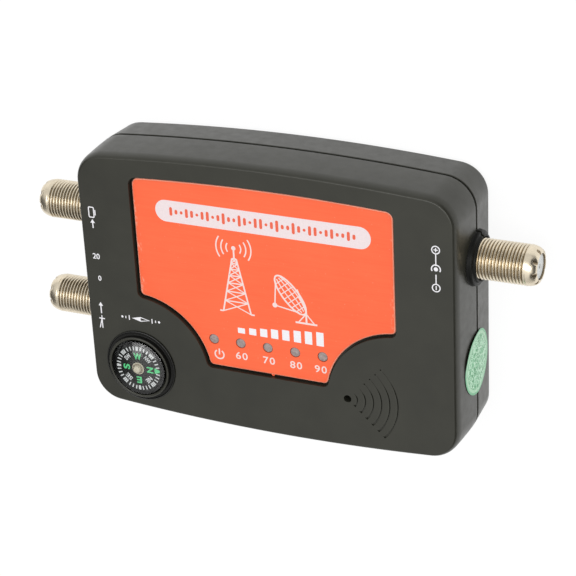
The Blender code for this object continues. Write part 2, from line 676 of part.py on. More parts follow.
def rear_cover():
    above = PARTING_HEIGHT + OVERRUN
    edge = REAR_EDGE_RADIUS
    bm = bmesh.new()
    rounded = rounded_sections(edge, REAR_DRAFT, REAR_EDGE_RADIUS, -1)
    loft(bm, list(reversed(rounded)) + [(edge, REAR_DRAFT), (above, rear_inset(above))])
    cover = piece("rear_cover", finish_mesh(bm, "rear_cover"), BLACK_PLASTIC)
    boolean(cover, collars("rear_collars"), "UNION")
    boolean(cover, trim_slab("rear_trim", REAR_RIM, AXIS_HEIGHT + COLLAR_RADIUS + OVERRUN), "DIFFERENCE")

    lip_top = PARTING_HEIGHT + LIP_HEIGHT
    bm = bmesh.new()
    loft(bm, [(REAR_RIM - LIP_HEIGHT, CASE_WALL - LIP_WALL + rear_inset(REAR_RIM - LIP_HEIGHT)),
              (lip_top, CASE_WALL - LIP_WALL)])
    boolean(cover, cutter("rear_lip", bm), "UNION")

    bm = bmesh.new()
    loft(bm, [(FLOOR_THICKNESS, CASE_WALL + rear_inset(FLOOR_THICKNESS)), (PARTING_HEIGHT, CASE_WALL),
              (lip_top + OVERRUN, CASE_WALL)])
    boolean(cover, cutter("rear_cavity", bm), "DIFFERENCE")

    bm = bmesh.new()
    for place in CASE_POST_PLACES:
        add_post(bm, CASE_POST_RADIUS, place, FLOOR_THICKNESS / 2, REAR_RIM, MIDDLE_ROUND_STEPS)
    boolean(cover, cutter("rear_posts", bm), "UNION")

    bm = bmesh.new()
    for place in CASE_POST_PLACES:
        add_post(bm, CASE_SCREW_HEAD_RADIUS + SEAT_GAP, place, -OVERRUN, COUNTERBORE_DEPTH,
                 MIDDLE_ROUND_STEPS)
    boolean(cover, cutter("rear_counterbores", bm), "DIFFERENCE")
    bm = bmesh.new()
    for place in CASE_POST_PLACES:
        add_post(bm, CASE_SCREW_RADIUS + SEAT_GAP, place, COUNTERBORE_DEPTH - OVERRUN, REAR_RIM + OVERRUN,
                 SMALL_ROUND_STEPS)
    boolean(cover, cutter("rear_screw_holes", bm), "DIFFERENCE")

    cut_socket_holes(cover, "rear")
    boolean(cover, switch_slot("rear_switch_slot"), "DIFFERENCE")
    smooth(cover)
    return cover


# Orange panel


def panel_outline(grow):
    """The panel outline, anticlockwise, moved outwards by grow."""
    half_width = PANEL_HALF_WIDTH + grow
    bottom = PANEL_BOTTOM - grow
    crown = PANEL_CROWN_RADIUS + grow
    corner = PANEL_CORNER_RADIUS + grow
    bite = PANEL_BITE_RADIUS - grow
    fillet = PANEL_BITE_FILLET + grow
    bite_x = -COMPASS_X
    bite_y = COMPASS_Y

    low_y = bottom + fillet
    low_x = bite_x - math.sqrt((bite + fillet) ** 2 - (low_y - bite_y) ** 2)
    side_x = half_width - fillet
    side_y = bite_y + math.sqrt((bite + fillet) ** 2 - (bite_x - side_x) ** 2)
    low_meet = math.atan2(low_y - bite_y, low_x - bite_x)
    side_meet = math.atan2(side_y - bite_y, side_x - bite_x)

    crown_middle = PANEL_TOP + grow - crown
    corner_x = half_width - corner
    corner_y = crown_middle + math.sqrt((crown - corner) ** 2 - corner_x ** 2)
    top_meet = math.atan2(corner_y - crown_middle, corner_x)

    right = arc((low_x, low_y), fillet, -math.pi / 2, low_meet - math.pi, FILLET_STEPS)
    right += arc((bite_x, bite_y), bite, low_meet, side_meet, BITE_STEPS)[1:-1]
    right += arc((side_x, side_y), fillet, side_meet - math.pi, 0.0, FILLET_STEPS)
    right += arc((corner_x, corner_y), corner, 0.0, top_meet, FILLET_STEPS)
    top = arc((0.0, crown_middle), crown, top_meet, math.pi - top_meet, CROWN_STEPS)[1:-1]
    return right + top + [(-x, y) for x, y in reversed(right)]


def front_panel():
    mesh = flat_mesh("front_panel", panel_outline(0.0), PANEL_THICKNESS)
    panel = piece("front_panel", mesh, ORANGE_PLATE, (0.0, 0.0, PANEL_SURFACE - PANEL_THICKNESS / 2))
    bm = bmesh.new()
    for place in LAMP_PLACES:
        add_post(bm, LAMP_TIP_RADIUS + FINE_GAP, place, RECESS_FLOOR - OVERRUN, PANEL_SURFACE + OVERRUN,
                 MIDDLE_ROUND_STEPS)
    boolean(panel, cutter("panel_lamp_holes", bm), "DIFFERENCE")
    return panel


# Compass; heights are measured from the face


def compass_axis():
    """An empty on the compass axis, which the turning pieces hang from."""
    axis = bpy.data.objects.new("compass_axis", None)
    axis.location = (COMPASS_X, COMPASS_Y, FACE)
    PARTS.objects.link(axis)
    return axis


def compass_housing(axis):
    underside = FINE_GAP
    flange_top = underside + COMPASS_FLANGE_THICKNESS
    ledge = -COMPASS_LEDGE_DEPTH
    ledge_bore = COMPASS_BORE - COMPASS_LEDGE_WIDTH
    cup_floor = COMPASS_CUP_FLOOR - COMPASS_CUP_DEPTH
    half_rim = COMPASS_RIM_WIDTH / 2
    slope = (COMPASS_FLANGE_RADIUS - COMPASS_RIM_RADIUS) / 2
    profile = [
        (0.0, cup_floor),
        (ledge_bore, cup_floor),
        (ledge_bore, ledge),
        (COMPASS_BORE, ledge),
        (COMPASS_BORE, COMPASS_RIM_HEIGHT - half_rim / 2),
        (COMPASS_BORE + half_rim / 2, COMPASS_RIM_HEIGHT),
        (COMPASS_RIM_RADIUS - half_rim / 2, COMPASS_RIM_HEIGHT),
        (COMPASS_RIM_RADIUS, COMPASS_RIM_HEIGHT - half_rim / 2),
        (COMPASS_RIM_RADIUS + slope / 3, (COMPASS_RIM_HEIGHT + flange_top) / 2),
        (COMPASS_RIM_RADIUS + slope, flange_top),
        (COMPASS_FLANGE_RADIUS - COMPASS_FLANGE_THICKNESS / 2, flange_top),
        (COMPASS_FLANGE_RADIUS, flange_top - COMPASS_FLANGE_THICKNESS / 2),
        (COMPASS_FLANGE_RADIUS, underside),
        (COMPASS_RIM_RADIUS, underside),
        (COMPASS_RIM_RADIUS, -COMPASS_CUP_DEPTH),
        (0.0, -COMPASS_CUP_DEPTH),
    ]
    mesh = turned_mesh("compass_housing", profile, LARGE_ROUND_STEPS)
    housing = piece("compass_housing", mesh, GLOSS_BLACK)
    housing.parent = axis
    smooth(housing)
    return housing


def dome(radius, side_top, rise, steps):
    """Points of a shallow dome from the axis down to its side."""
    points = []
    for step in range(steps + 1):
        angle = math.pi / 2 * (1 - step / steps)
        points.append((radius * math.cos(angle), side_top + rise * math.sin(angle)))
    points[0] = (0.0, side_top + rise)
    return points


def compass_lens(axis):
    bottom = SEAT_GAP - COMPASS_LEDGE_DEPTH
    inside_rise = LENS_DOME_HEIGHT - LENS_WALL / 3
    inside_side = LENS_SIDE_HEIGHT - LENS_WALL * 2 / 3
    profile = dome(LENS_RADIUS, LENS_SIDE_HEIGHT, LENS_DOME_HEIGHT, DOME_STEPS)
    profile += [(LENS_RADIUS, bottom), (LENS_BORE, bottom)]
    profile += list(reversed(dome(LENS_BORE, inside_side, inside_rise, DOME_STEPS)))
    lens = piece("compass_lens", turned_mesh("compass_lens", profile, LARGE_ROUND_STEPS), CLEAR_PLASTIC)
    lens.parent = axis
    smooth(lens)
    return lens


def compass_dial(axis):
    bottom = DIAL_HEIGHT - DIAL_THICKNESS
    profile = [(JEWEL_HOLE, DIAL_HEIGHT), (DIAL_RADIUS, DIAL_HEIGHT), (DIAL_RADIUS, bottom),
               (JEWEL_HOLE, bottom)]
    dial = piece("compass_dial", turned_mesh("compass_dial", profile, LARGE_ROUND_STEPS), GLOSS_BLACK)
    dial.parent = axis
    return dial


def compass_jewel(axis):
    cap_bottom = DIAL_HEIGHT + FINE_GAP
    stem_bottom = cap_bottom - JEWEL_STEM_LENGTH
    profile = dome(JEWEL_RADIUS, cap_bottom + JEWEL_CAP_HEIGHT / 3, JEWEL_CAP_HEIGHT * 2 / 3, 3)
    profile += [
        (JEWEL_RADIUS, cap_bottom),
        (JEWEL_STEM_RADIUS, cap_bottom),
        (JEWEL_STEM_RADIUS, stem_bottom),
        (JEWEL_PIT_RADIUS, stem_bottom),
        (JEWEL_PIT_RADIUS, stem_bottom + JEWEL_PIT_DEPTH),
        (0.0, stem_bottom + JEWEL_PIT_DEPTH),
    ]
    jewel = piece("compass_jewel", turned_mesh("compass_jewel", profile, SMALL_ROUND_STEPS), BRASS)
    jewel.parent = axis
    smooth(jewel)
    return jewel


def compass_magnet(axis):
    top = DIAL_HEIGHT - DIAL_THICKNESS - SEAT_GAP
    bm = bmesh.new()
    add_box(bm, (-MAGNET_LENGTH / 2, -MAGNET_WIDTH / 2, top - MAGNET_THICKNESS),
            (MAGNET_LENGTH / 2, MAGNET_WIDTH / 2, top))
    magnet = piece("compass_magnet", finish_mesh(bm, "compass_magnet"), STEEL)
    magnet.parent = axis
    bm = bmesh.new()
    add_cylinder(bm, JEWEL_HOLE, (COMPASS_X, COMPASS_Y, FACE + top - MAGNET_THICKNESS - OVERRUN),
                 (COMPASS_X, COMPASS_Y, FACE + top + OVERRUN), SMALL_ROUND_STEPS)
    boolean(magnet, cutter("magnet_hole", bm), "DIFFERENCE")
    return magnet


def compass_pivot(axis):
    foot_bottom = COMPASS_CUP_FLOOR - COMPASS_CUP_DEPTH + FINE_GAP
    foot_top = foot_bottom + PIVOT_FOOT_HEIGHT
    stem_bottom = DIAL_HEIGHT + FINE_GAP - JEWEL_STEM_LENGTH
    tip = stem_bottom + JEWEL_PIT_DEPTH - FINE_GAP
    profile = [
        (0.0, tip),
        (PIVOT_PIN_RADIUS, tip - PIVOT_TIP_LENGTH),
        (PIVOT_PIN_RADIUS, foot_top),
        (PIVOT_FOOT_RADIUS, foot_top),
        (PIVOT_FOOT_RADIUS, foot_bottom),
        (0.0, foot_bottom),
    ]
    pivot = piece("compass_pivot", turned_mesh("compass_pivot", profile, SMALL_ROUND_STEPS), BRASS)
    pivot.parent = axis
    return pivot


# Sockets; each is made along +Z with its origin in the case's side plane, then laid along X, which
# turns its local +X down to the rear


def socket_profile():
    """The barrel's profile: nose, thread, inner flange and bore."""
    thread_end = THREAD_START + THREAD_TURNS * THREAD_PITCH
    nose = SOCKET_REACH - thread_end
    flange_face = SOCKET_FLANGE_FACE - CASE_HALF_WIDTH
    flange_back = SOCKET_FLANGE_BACK - CASE_HALF_WIDTH
    root = THREAD_RADIUS - THREAD_DEPTH
    profile = [(NOSE_LIP_BORE, SOCKET_REACH), (NOSE_LIP_RADIUS, SOCKET_REACH)]
    for step in range(1, FILLET_STEPS + 1):
        angle = math.pi / 2 * step / FILLET_STEPS
        profile.append((NOSE_LIP_RADIUS + (THREAD_RADIUS - NOSE_LIP_RADIUS) * math.sin(angle),
                        SOCKET_REACH - nose * (1 - math.cos(angle))))
    for turn in range(THREAD_TURNS):
        crest = thread_end - turn * THREAD_PITCH
        profile.append((root, crest - THREAD_PITCH / 2))
        profile.append((THREAD_RADIUS, crest - THREAD_PITCH))
    profile += [
        (THREAD_RADIUS, flange_face),
        (SOCKET_FLANGE_RADIUS, flange_face),
        (SOCKET_FLANGE_RADIUS, flange_back),
        (SOCKET_BORE, flange_back),
        (SOCKET_BORE, SOCKET_REACH - NOSE_LIP_THICKNESS),
        (NOSE_LIP_BORE, SOCKET_REACH - NOSE_LIP_THICKNESS),
    ]
    return profile


def socket_barrel_mesh():
    """A barrel with four legs that grip the edge of the board from both sides."""
    mesh = turned_mesh("socket_barrel", socket_profile(), SOCKET_ROUND_STEPS)
    holder = bpy.data.objects.new("socket_barrel", mesh)
    PARTS.objects.link(holder)
    flange_back = SOCKET_FLANGE_BACK - CASE_HALF_WIDTH
    top_gap = BOARD_TOP + SEAT_GAP - AXIS_HEIGHT
    bottom_gap = BOARD_BOTTOM - SEAT_GAP - AXIS_HEIGHT
    bm = bmesh.new()
    for side in (-1, 1):
        middle = side * SOCKET_LEG_SPREAD
        for low in (top_gap, bottom_gap - SOCKET_LEG_HEIGHT):
            add_box(bm, (-low - SOCKET_LEG_HEIGHT, middle - SOCKET_LEG_WIDTH / 2,
                         flange_back - SOCKET_LEG_LENGTH),
                    (-low, middle + SOCKET_LEG_WIDTH / 2, flange_back + SOCKET_FLANGE_THICKNESS / 2))
    legs = cutter("socket_legs", bm)
    boolean(holder, legs, "UNION")
    made = baked(holder, "socket_barrel")
    bpy.data.objects.remove(legs, do_unlink=True)
    return made


def insulator_mesh():
    front = SOCKET_REACH - NOSE_LIP_THICKNESS - SEAT_GAP
    back = SOCKET_FLANGE_BACK - CASE_HALF_WIDTH
    outer = SOCKET_BORE - SEAT_GAP
    inner = CONTACT_RADIUS + SEAT_GAP
    profile = [(inner, front), (outer, front), (outer, back), (inner, back)]
    return turned_mesh("socket_insulator", profile, SOCKET_ROUND_STEPS)


def contact_mesh():
    front = SOCKET_REACH - CONTACT_MOUTH_DEPTH
    back = SOCKET_FLANGE_BACK - CASE_HALF_WIDTH - CONTACT_TAIL
    profile = [(0.0, front), (CONTACT_RADIUS, front), (CONTACT_RADIUS, back), (0.0, back)]
    return turned_mesh("socket_contact", profile, SMALL_ROUND_STEPS)


def sockets(root):
    barrel = socket_barrel_mesh()
    insulator = insulator_mesh()
    contact = contact_mesh()
    for name, side, y in SOCKETS:
        place = (side * CASE_HALF_WIDTH, y, AXIS_HEIGHT)
        turn = (0.0, math.pi / 2, 0.0) if side > 0 else (0.0, math.pi / 2, math.pi)
        for suffix, mesh, finish in (("barrel", barrel, NICKEL), ("insulator", insulator, WHITE_PLASTIC),
                                     ("contact", contact, BRASS)):
            made = piece(f"{name}_{suffix}", mesh, finish, place, turn)
            made.parent = root
            smooth(made)


# Circuit board and what stands on it


def circuit_board():
    half_width = BOARD_HALF_WIDTH
    half_height = BOARD_HALF_HEIGHT
    cut = BOARD_CORNER_CUT
    corners = [(half_width, half_height - cut), (half_width - cut, half_height)]
    corners += [(-x, y) for x, y in reversed(corners)]
    corners += [(-x, -y) for x, y in corners]
    mesh = flat_mesh("circuit_board", corners, BOARD_THICKNESS)
    board = piece("circuit_board", mesh, BOARD_GREEN, (0.0, 0.0, BOARD_TOP - BOARD_THICKNESS / 2))
    bm = bmesh.new()
    for place in BOARD_POST_PLACES:
        add_post(bm, BOARD_SCREW_RADIUS + SEAT_GAP, place, BOARD_BOTTOM - OVERRUN, BOARD_TOP + OVERRUN,
                 SMALL_ROUND_STEPS)
    boolean(board, cutter("board_holes", bm), "DIFFERENCE")
    return board


def lamp_mesh():
    """A lamp with a stepped lens and two leads; its origin is its top."""
    side_top = -LAMP_RISE * 3
    body_top = -LAMP_TIP_LENGTH
    flange_top = body_top - LAMP_BODY_LENGTH
    flange_bottom = flange_top - LAMP_FLANGE_THICKNESS
    profile = dome(LAMP_TIP_RADIUS, side_top, -side_top, 3)
    profile += [
        (LAMP_TIP_RADIUS, body_top),
        (LAMP_BODY_RADIUS, body_top),
        (LAMP_BODY_RADIUS, flange_top),
        (LAMP_FLANGE_RADIUS, flange_top),
        (LAMP_FLANGE_RADIUS, flange_bottom),
        (0.0, flange_bottom),
    ]
    holder = bpy.data.objects.new("lamp", turned_mesh("lamp", profile, SMALL_ROUND_STEPS))
    PARTS.objects.link(holder)
    lead_bottom = ON_BOARD - (PANEL_SURFACE + LAMP_RISE)
    bm = bmesh.new()
    for side in (-1, 1):
        middle = side * LAMP_LEAD_SPREAD / 2
        add_box(bm, (middle - LAMP_LEAD_WIDTH / 2, -LAMP_LEAD_WIDTH / 2, lead_bottom),
                (middle + LAMP_LEAD_WIDTH / 2, LAMP_LEAD_WIDTH / 2,
                 flange_bottom + LAMP_FLANGE_THICKNESS / 2))
    leads = cutter("lamp_leads", bm)
    boolean(holder, leads, "UNION")
    made = baked(holder, "lamp")
    bpy.data.objects.remove(leads, do_unlink=True)
    return made


def lamps():
    mesh = lamp_mesh()
    names = ["power_led"] + [f"level_led_{step}" for step in range(1, LAMP_COUNT)]
    for name, (x, y) in zip(names, LAMP_PLACES):
        lamp = piece(name, mesh, LAMP_GREY, (x, y, PANEL_SURFACE + LAMP_RISE))
        smooth(lamp)


def sounder():
    profile = [
        (0.0, SOUNDER_HEIGHT - SOUNDER_PORT_DEPTH),
        (SOUNDER_PORT_RADIUS, SOUNDER_HEIGHT - SOUNDER_PORT_DEPTH),
        (SOUNDER_PORT_RADIUS, SOUNDER_HEIGHT),
        (SOUNDER_RADIUS, SOUNDER_HEIGHT),
        (SOUNDER_RADIUS, 0.0),
        (0.0, 0.0),
    ]
    made = piece("sounder", turned_mesh("sounder", profile, MIDDLE_ROUND_STEPS), DARK_RESIN,
                 (SOUNDER_X, SOUNDER_Y, ON_BOARD))
    smooth(made)


def attenuator_switch():
    """The switch body at the board's left edge, with a pocket that the knob slides in."""
    outer = -(CASE_HALF_WIDTH - CASE_WALL - FRONT_DRAFT - SEAT_GAP)
    half_length = SWITCH_BODY_LENGTH / 2
    bm = bmesh.new()
    add_box(bm, (0.0, -half_length, 0.0), (SWITCH_BODY_WIDTH, half_length, SWITCH_BODY_HEIGHT))
    body = piece("attenuator_switch", finish_mesh(bm, "attenuator_switch"), STEEL,
                 (outer, SWITCH_Y, ON_BOARD))
    pocket_half = (SWITCH_TRAVEL + KNOB_LENGTH) / 2 + SEAT_GAP
    pocket_height = KNOB_HEIGHT / 2 + SEAT_GAP
    bm = bmesh.new()
    add_box(bm, (outer - OVERRUN, SWITCH_Y - pocket_half, KNOB_CENTRE_HEIGHT - pocket_height),
            (outer + SWITCH_POCKET_DEPTH, SWITCH_Y + pocket_half, KNOB_CENTRE_HEIGHT + pocket_height))
    boolean(body, cutter("switch_pocket", bm), "DIFFERENCE")
    return outer


def attenuator_knob(switch_face):
    """The sliding knob, at rest at the 0 mark; its origin is on its slide line in the wall plane."""
    inner = switch_face + SWITCH_POCKET_DEPTH - SEAT_GAP + CASE_HALF_WIDTH
    bm = bmesh.new()
    add_box(bm, (-KNOB_PROUD, -KNOB_LENGTH / 2, -KNOB_HEIGHT / 2), (inner, KNOB_LENGTH / 2, KNOB_HEIGHT / 2))
    piece("attenuator_knob", finish_mesh(bm, "attenuator_knob"), DARK_RESIN,
          (-CASE_HALF_WIDTH, SWITCH_Y - SWITCH_TRAVEL / 2, KNOB_CENTRE_HEIGHT))


def tuner_shield():
    """A folded sheet can, open at the bottom."""
    bm = bmesh.new()
    add_box(bm, (-SHIELD_LENGTH / 2, -SHIELD_WIDTH / 2, 0.0), (SHIELD_LENGTH / 2, SHIELD_WIDTH / 2,
                                                              SHIELD_HEIGHT))
    bm.normal_update()
    bottom = [face for face in bm.faces if face.normal.z < -0.5]
    bmesh.ops.delete(bm, geom=bottom, context="FACES_ONLY")
    can = piece("tuner_shield", finish_mesh(bm, "tuner_shield"), STEEL, (SHIELD_X, SHIELD_Y, ON_BOARD))
    sheet = can.modifiers.new("sheet", "SOLIDIFY")
    sheet.thickness = SHIELD_SHEET
    sheet.offset = -1.0
    sheet.use_even_offset = True


def detector_chip():
    """A flat chip with a row of leads along each long side."""
    bm = bmesh.new()
    lift = CHIP_LEAD_THICKNESS
    add_box(bm, (-CHIP_LENGTH / 2, -CHIP_WIDTH / 2, lift / 2),
            (CHIP_LENGTH / 2, CHIP_WIDTH / 2, lift / 2 + CHIP_THICKNESS))
    chip = piece("detector_chip", finish_mesh(bm, "detector_chip"), DARK_RESIN, (CHIP_X, CHIP_Y, ON_BOARD))
    bm = bmesh.new()
    for step in range(CHIP_LEAD_COUNT):
        x = CHIP_X + (step - (CHIP_LEAD_COUNT - 1) / 2) * CHIP_LEAD_PITCH
        add_box(bm, (x - CHIP_LEAD_WIDTH / 2, CHIP_Y - CHIP_WIDTH / 2 - CHIP_LEAD_REACH, ON_BOARD),
                (x + CHIP_LEAD_WIDTH / 2, CHIP_Y + CHIP_WIDTH / 2 + CHIP_LEAD_REACH, ON_BOARD + lift))
    boolean(chip, cutter("chip_leads", bm), "UNION")


def capacitor(name, radius, height, place):
    """An upright can with a crimped waist near its foot."""
    waist = radius - CAPACITOR_CRIMP_DEPTH
    edge = CAPACITOR_CRIMP_DEPTH
    profile = [
        (0.0, height),
        (radius - edge, height),
        (radius, height - edge),
        (radius, CAPACITOR_CRIMP_HEIGHT + edge * 2),
        (waist, CAPACITOR_CRIMP_HEIGHT + edge),
        (radius, CAPACITOR_CRIMP_HEIGHT),
        (radius, 0.0),
        (0.0, 0.0),
    ]
    made = piece(name, turned_mesh(name, profile, MIDDLE_ROUND_STEPS), DARK_RESIN, (*place, ON_BOARD))
    smooth(made)


def filter_coil():
    """A drum core with its winding between two flanges."""
    flange = COIL_FLANGE_THICKNESS
    profile = [
        (0.0, COIL_HEIGHT),
        (COIL_FLANGE_RADIUS, COIL_HEIGHT),
        (COIL_FLANGE_RADIUS, COIL_HEIGHT - flange),
        (COIL_CORE_RADIUS, COIL_HEIGHT - flange),
        (COIL_CORE_RADIUS, flange),
        (COIL_FLANGE_RADIUS, flange),
        (COIL_FLANGE_RADIUS, 0.0),
        (0.0, 0.0),
    ]
    made = piece("filter_coil", turned_mesh("filter_coil", profile, MIDDLE_ROUND_STEPS), FERRITE,
                 (COIL_X, COIL_Y, ON_BOARD))
    smooth(made)


def supply_regulator():
    """A small three-legged regulator with one flat side."""
    bottom = REGULATOR_LEAD_LENGTH
    top = bottom + REGULATOR_HEIGHT
    bm = bmesh.new()
    add_cylinder(bm, REGULATOR_RADIUS, (0.0, 0.0, bottom), (0.0, 0.0, top), MIDDLE_ROUND_STEPS)
    everything = bm.verts[:] + bm.edges[:] + bm.faces[:]
    sliced = bmesh.ops.bisect_plane(bm, geom=everything, plane_co=(0.0, -REGULATOR_FLAT_OFFSET, 0.0),
                                    plane_no=(0.0, -1.0, 0.0), clear_outer=True)
    rim = [part for part in sliced["geom_cut"] if isinstance(part, bmesh.types.BMEdge)]
    bmesh.ops.contextual_create(bm, geom=rim)
    made = piece("supply_regulator", finish_mesh(bm, "supply_regulator"), DARK_RESIN,
                 (REGULATOR_X, REGULATOR_Y, ON_BOARD))
    half = REGULATOR_LEAD_WIDTH / 2
    bm = bmesh.new()
    for step in (-1, 0, 1):
        x = REGULATOR_X + step * REGULATOR_LEAD_PITCH
        add_box(bm, (x - half, REGULATOR_Y - half, ON_BOARD),
                (x + half, REGULATOR_Y + half, ON_BOARD + bottom + REGULATOR_HEIGHT / 2))
    boolean(made, cutter("regulator_leads", bm), "UNION")


# Screws; made head down with the origin under the head, where the shank starts


def screw_mesh(name, shank, length, head_radius, head_height):
    edge = head_height / 4
    profile = [
        (0.0, length),
        (shank - shank / 3, length),
        (shank, length - shank),
        (shank, 0.0),
        (head_radius, 0.0),
        (head_radius, edge - head_height),
        (head_radius - edge, -head_height),
        (0.0, -head_height),
    ]
    holder = bpy.data.objects.new(name, turned_mesh(name, profile, SMALL_ROUND_STEPS))
    PARTS.objects.link(holder)
    reach = head_radius * CROSS_SLOT_LENGTH_SHARE / 2
    depth = head_height * CROSS_SLOT_DEPTH_SHARE
    tools = []
    for index, (half_x, half_y) in enumerate(((reach, CROSS_SLOT_WIDTH / 2), (CROSS_SLOT_WIDTH / 2, reach))):
        bm = bmesh.new()
        add_box(bm, (-half_x, -half_y, -head_height - OVERRUN), (half_x, half_y, depth - head_height))
        tool = cutter(f"{name}_slot_{index}", bm)
        boolean(holder, tool, "DIFFERENCE")
        tools.append(tool)
    made = baked(holder, name)
    for tool in tools:
        bpy.data.objects.remove(tool, do_unlink=True)
    return made


def screws():
    case_length = FRONT_RIM + CASE_SCREW_BITE - (COUNTERBORE_DEPTH - SEAT_GAP)
    mesh = screw_mesh("case_screw", CASE_SCREW_RADIUS, case_length, CASE_SCREW_HEAD_RADIUS,
                      CASE_SCREW_HEAD_HEIGHT)
    for index, place in enumerate(CASE_POST_PLACES, 1):
        made = piece(f"case_screw_{index}", mesh, STEEL, (*place, COUNTERBORE_DEPTH - SEAT_GAP))
        smooth(made)
    board_length = BOARD_THICKNESS + SEAT_GAP * 2 + BOARD_SCREW_BITE
    mesh = screw_mesh("board_screw", BOARD_SCREW_RADIUS, board_length, BOARD_SCREW_HEAD_RADIUS,
                      BOARD_SCREW_HEAD_HEIGHT)
    for index, place in enumerate(BOARD_POST_PLACES, 1):
        made = piece(f"board_screw_{index}", mesh, STEEL, (*place, BOARD_BOTTOM - SEAT_GAP))
        smooth(made)


# Sticker


def round_sticker():
    """A thin disc on the right wall, creased along the parting line where the two drafts meet."""
    bm = bmesh.new()
    bmesh.ops.create_circle(bm, cap_ends=True, radius=STICKER_RADIUS, segments=MIDDLE_ROUND_STEPS)
    bmesh.ops.bisect_plane(bm, geom=bm.verts[:] + bm.edges[:] + bm.faces[:], plane_co=(0.0, 0.0, 0.0),
                           plane_no=(0.0, 1.0, 0.0))
    for point in bm.verts:
        height = point.co.y
        level = AXIS_HEIGHT + height
        drawn_in = front_inset(level) if height > 0.0 else rear_inset(level)
        point.co = (SEAT_GAP / 2 - drawn_in, point.co.x, height)
    sticker = piece("round_sticker", finish_mesh(bm, "round_sticker"), STICKER_GREEN,
                    (CASE_HALF_WIDTH, STICKER_Y, AXIS_HEIGHT))
    sheet = sticker.modifiers.new("sheet", "SOLIDIFY")
    sheet.thickness = STICKER_THICKNESS
    sheet.offset = 1.0


# The whole meter


def build():
    root = bpy.data.objects.new("signal_meter_root", None)
    PARTS.objects.link(root)
    front_cover()
    rear_cover()
    front_panel()
    axis = compass_axis()
    compass_housing(axis)
    compass_lens(axis)
    compass_dial(axis)
    compass_jewel(axis)
    compass_magnet(axis)
    compass_pivot(axis)
    sockets(root)
    circuit_board()
    lamps()
    sounder()
    switch_face = attenuator_switch()
    attenuator_knob(switch_face)
    tuner_shield()
    detector_chip()
    capacitor("supply_capacitor", SUPPLY_CAPACITOR_RADIUS, SUPPLY_CAPACITOR_HEIGHT,
              (SUPPLY_CAPACITOR_X, SUPPLY_CAPACITOR_Y))
    capacitor("filter_capacitor", FILTER_CAPACITOR_RADIUS, FILTER_CAPACITOR_HEIGHT,
              (FILTER_CAPACITOR_X, FILTER_CAPACITOR_Y))
    filter_coil()
    supply_regulator()
    screws()
    round_sticker()


build()
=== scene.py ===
"""The looks of the aerial signal meter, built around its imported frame.

Shapes are worked out in millimetres in the frame's own axes and written to meshes in metres.
"""

from math import asin, atan, atan2, cos, exp, hypot, pi, radians, sin, sqrt, tau

import bmesh
import bpy
from mathutils import Matrix, Vector

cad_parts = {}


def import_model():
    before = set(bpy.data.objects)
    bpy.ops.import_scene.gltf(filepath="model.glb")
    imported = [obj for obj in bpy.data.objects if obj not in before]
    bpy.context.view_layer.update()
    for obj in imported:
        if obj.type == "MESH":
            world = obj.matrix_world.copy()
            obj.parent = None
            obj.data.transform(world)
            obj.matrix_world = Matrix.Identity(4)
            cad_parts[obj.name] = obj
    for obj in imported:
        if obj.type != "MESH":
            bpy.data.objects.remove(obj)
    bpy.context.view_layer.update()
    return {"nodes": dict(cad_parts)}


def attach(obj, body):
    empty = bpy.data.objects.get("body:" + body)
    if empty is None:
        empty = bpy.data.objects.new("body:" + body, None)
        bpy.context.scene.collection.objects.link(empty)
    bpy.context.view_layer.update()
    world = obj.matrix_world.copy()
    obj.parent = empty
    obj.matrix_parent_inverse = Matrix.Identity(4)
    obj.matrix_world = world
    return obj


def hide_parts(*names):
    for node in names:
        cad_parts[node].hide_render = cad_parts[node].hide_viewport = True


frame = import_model()

MM = 0.001

# ---- sizes, in millimetres
HALF_WIDTH, HALF_HEIGHT = 48.0, 34.9
CROWN, CORNER, LEAST_CORNER = 511.0, 7.6, 5.0  # radii of the long sides and of the corners
STAND = 0.15  # how far the skin stands outside the nominal outline
FACE, PARTING, WALL, FLOOR = 23.0, 10.7, 2.2, 2.2  # two levels above the back, two thicknesses
FRONT_DRAFT, FRONT_TALL, FRONT_WIDE = 0.35, 2.8, 1.15  # the wall's lean, the face edge's height and width
REAR_DRAFT, REAR_EDGE = 0.5, 1.45
FRONT_RIM, REAR_RIM, RIM_SOFT = 10.92, 10.15, 0.2  # the gap at the parting line and its soft edges
TONGUE_FOOT, TONGUE_TOP, TONGUE_IN, TONGUE_ROOM = REAR_RIM - 1.5, 12.2, 1.4, 12.5  # round the rear rim
FACE_INSIDE = 20.2
PANEL_TOP, RECESS_FLOOR, PANEL_THICK, PANEL_GAP = 22.1, 21.2, 0.6, 0.5
COMPASS = (-34.1, -21.65)
SOUNDER = (20.4, -21.0)
LAMPS = [(-14.1 + 7.05 * step, -11.5) for step in range(5)]
CASE_POSTS = [(side * 41.0, end * 27.6) for end in (1, -1) for side in (-1, 1)]
BOARD_POSTS = ((-30.0, 23.5), (30.0, 23.5), (-16.0, -23.5), (35.0, -23.5))
BOARD_LEVEL = 10.25
# radii of the bosses and holes, and the levels where the screw holes end
CASE_BOSS, CASE_POST, CASE_HOLE, CASE_HOLE_END, HEAD_HOLE, HEAD_HOLE_END = 3.2, 3.6, 1.5, 17.9, 2.7, 5.0
BOARD_BOSS, BOARD_HOLE, BOARD_HOLE_END = 2.6, 1.2, 15.55
LAMP_HOLE, PANEL_HOLE, SOUND_HOLE, SOUND_MOUTH, COMPASS_HOLE = 1.75, 1.3, 0.88, 1.0, 8.35
SOCKETS = (("power_socket", 1, 14.1), ("tv_socket", -1, 14.1), ("aerial_socket", -1, -11.8))  # side, y
REACH = 15.5  # how far a socket stands out of the case's side
NOSE_SHIFT = {"power_socket": -0.15, "tv_socket": 0.35, "aerial_socket": 0.45}  # added to it, as in the photo
SWITCH_Y, KNOB_Z = 3.4, 12.05
PRINT, CARD_PRINT = 0.03, 0.02  # thickness of the ink on the case and on the compass card

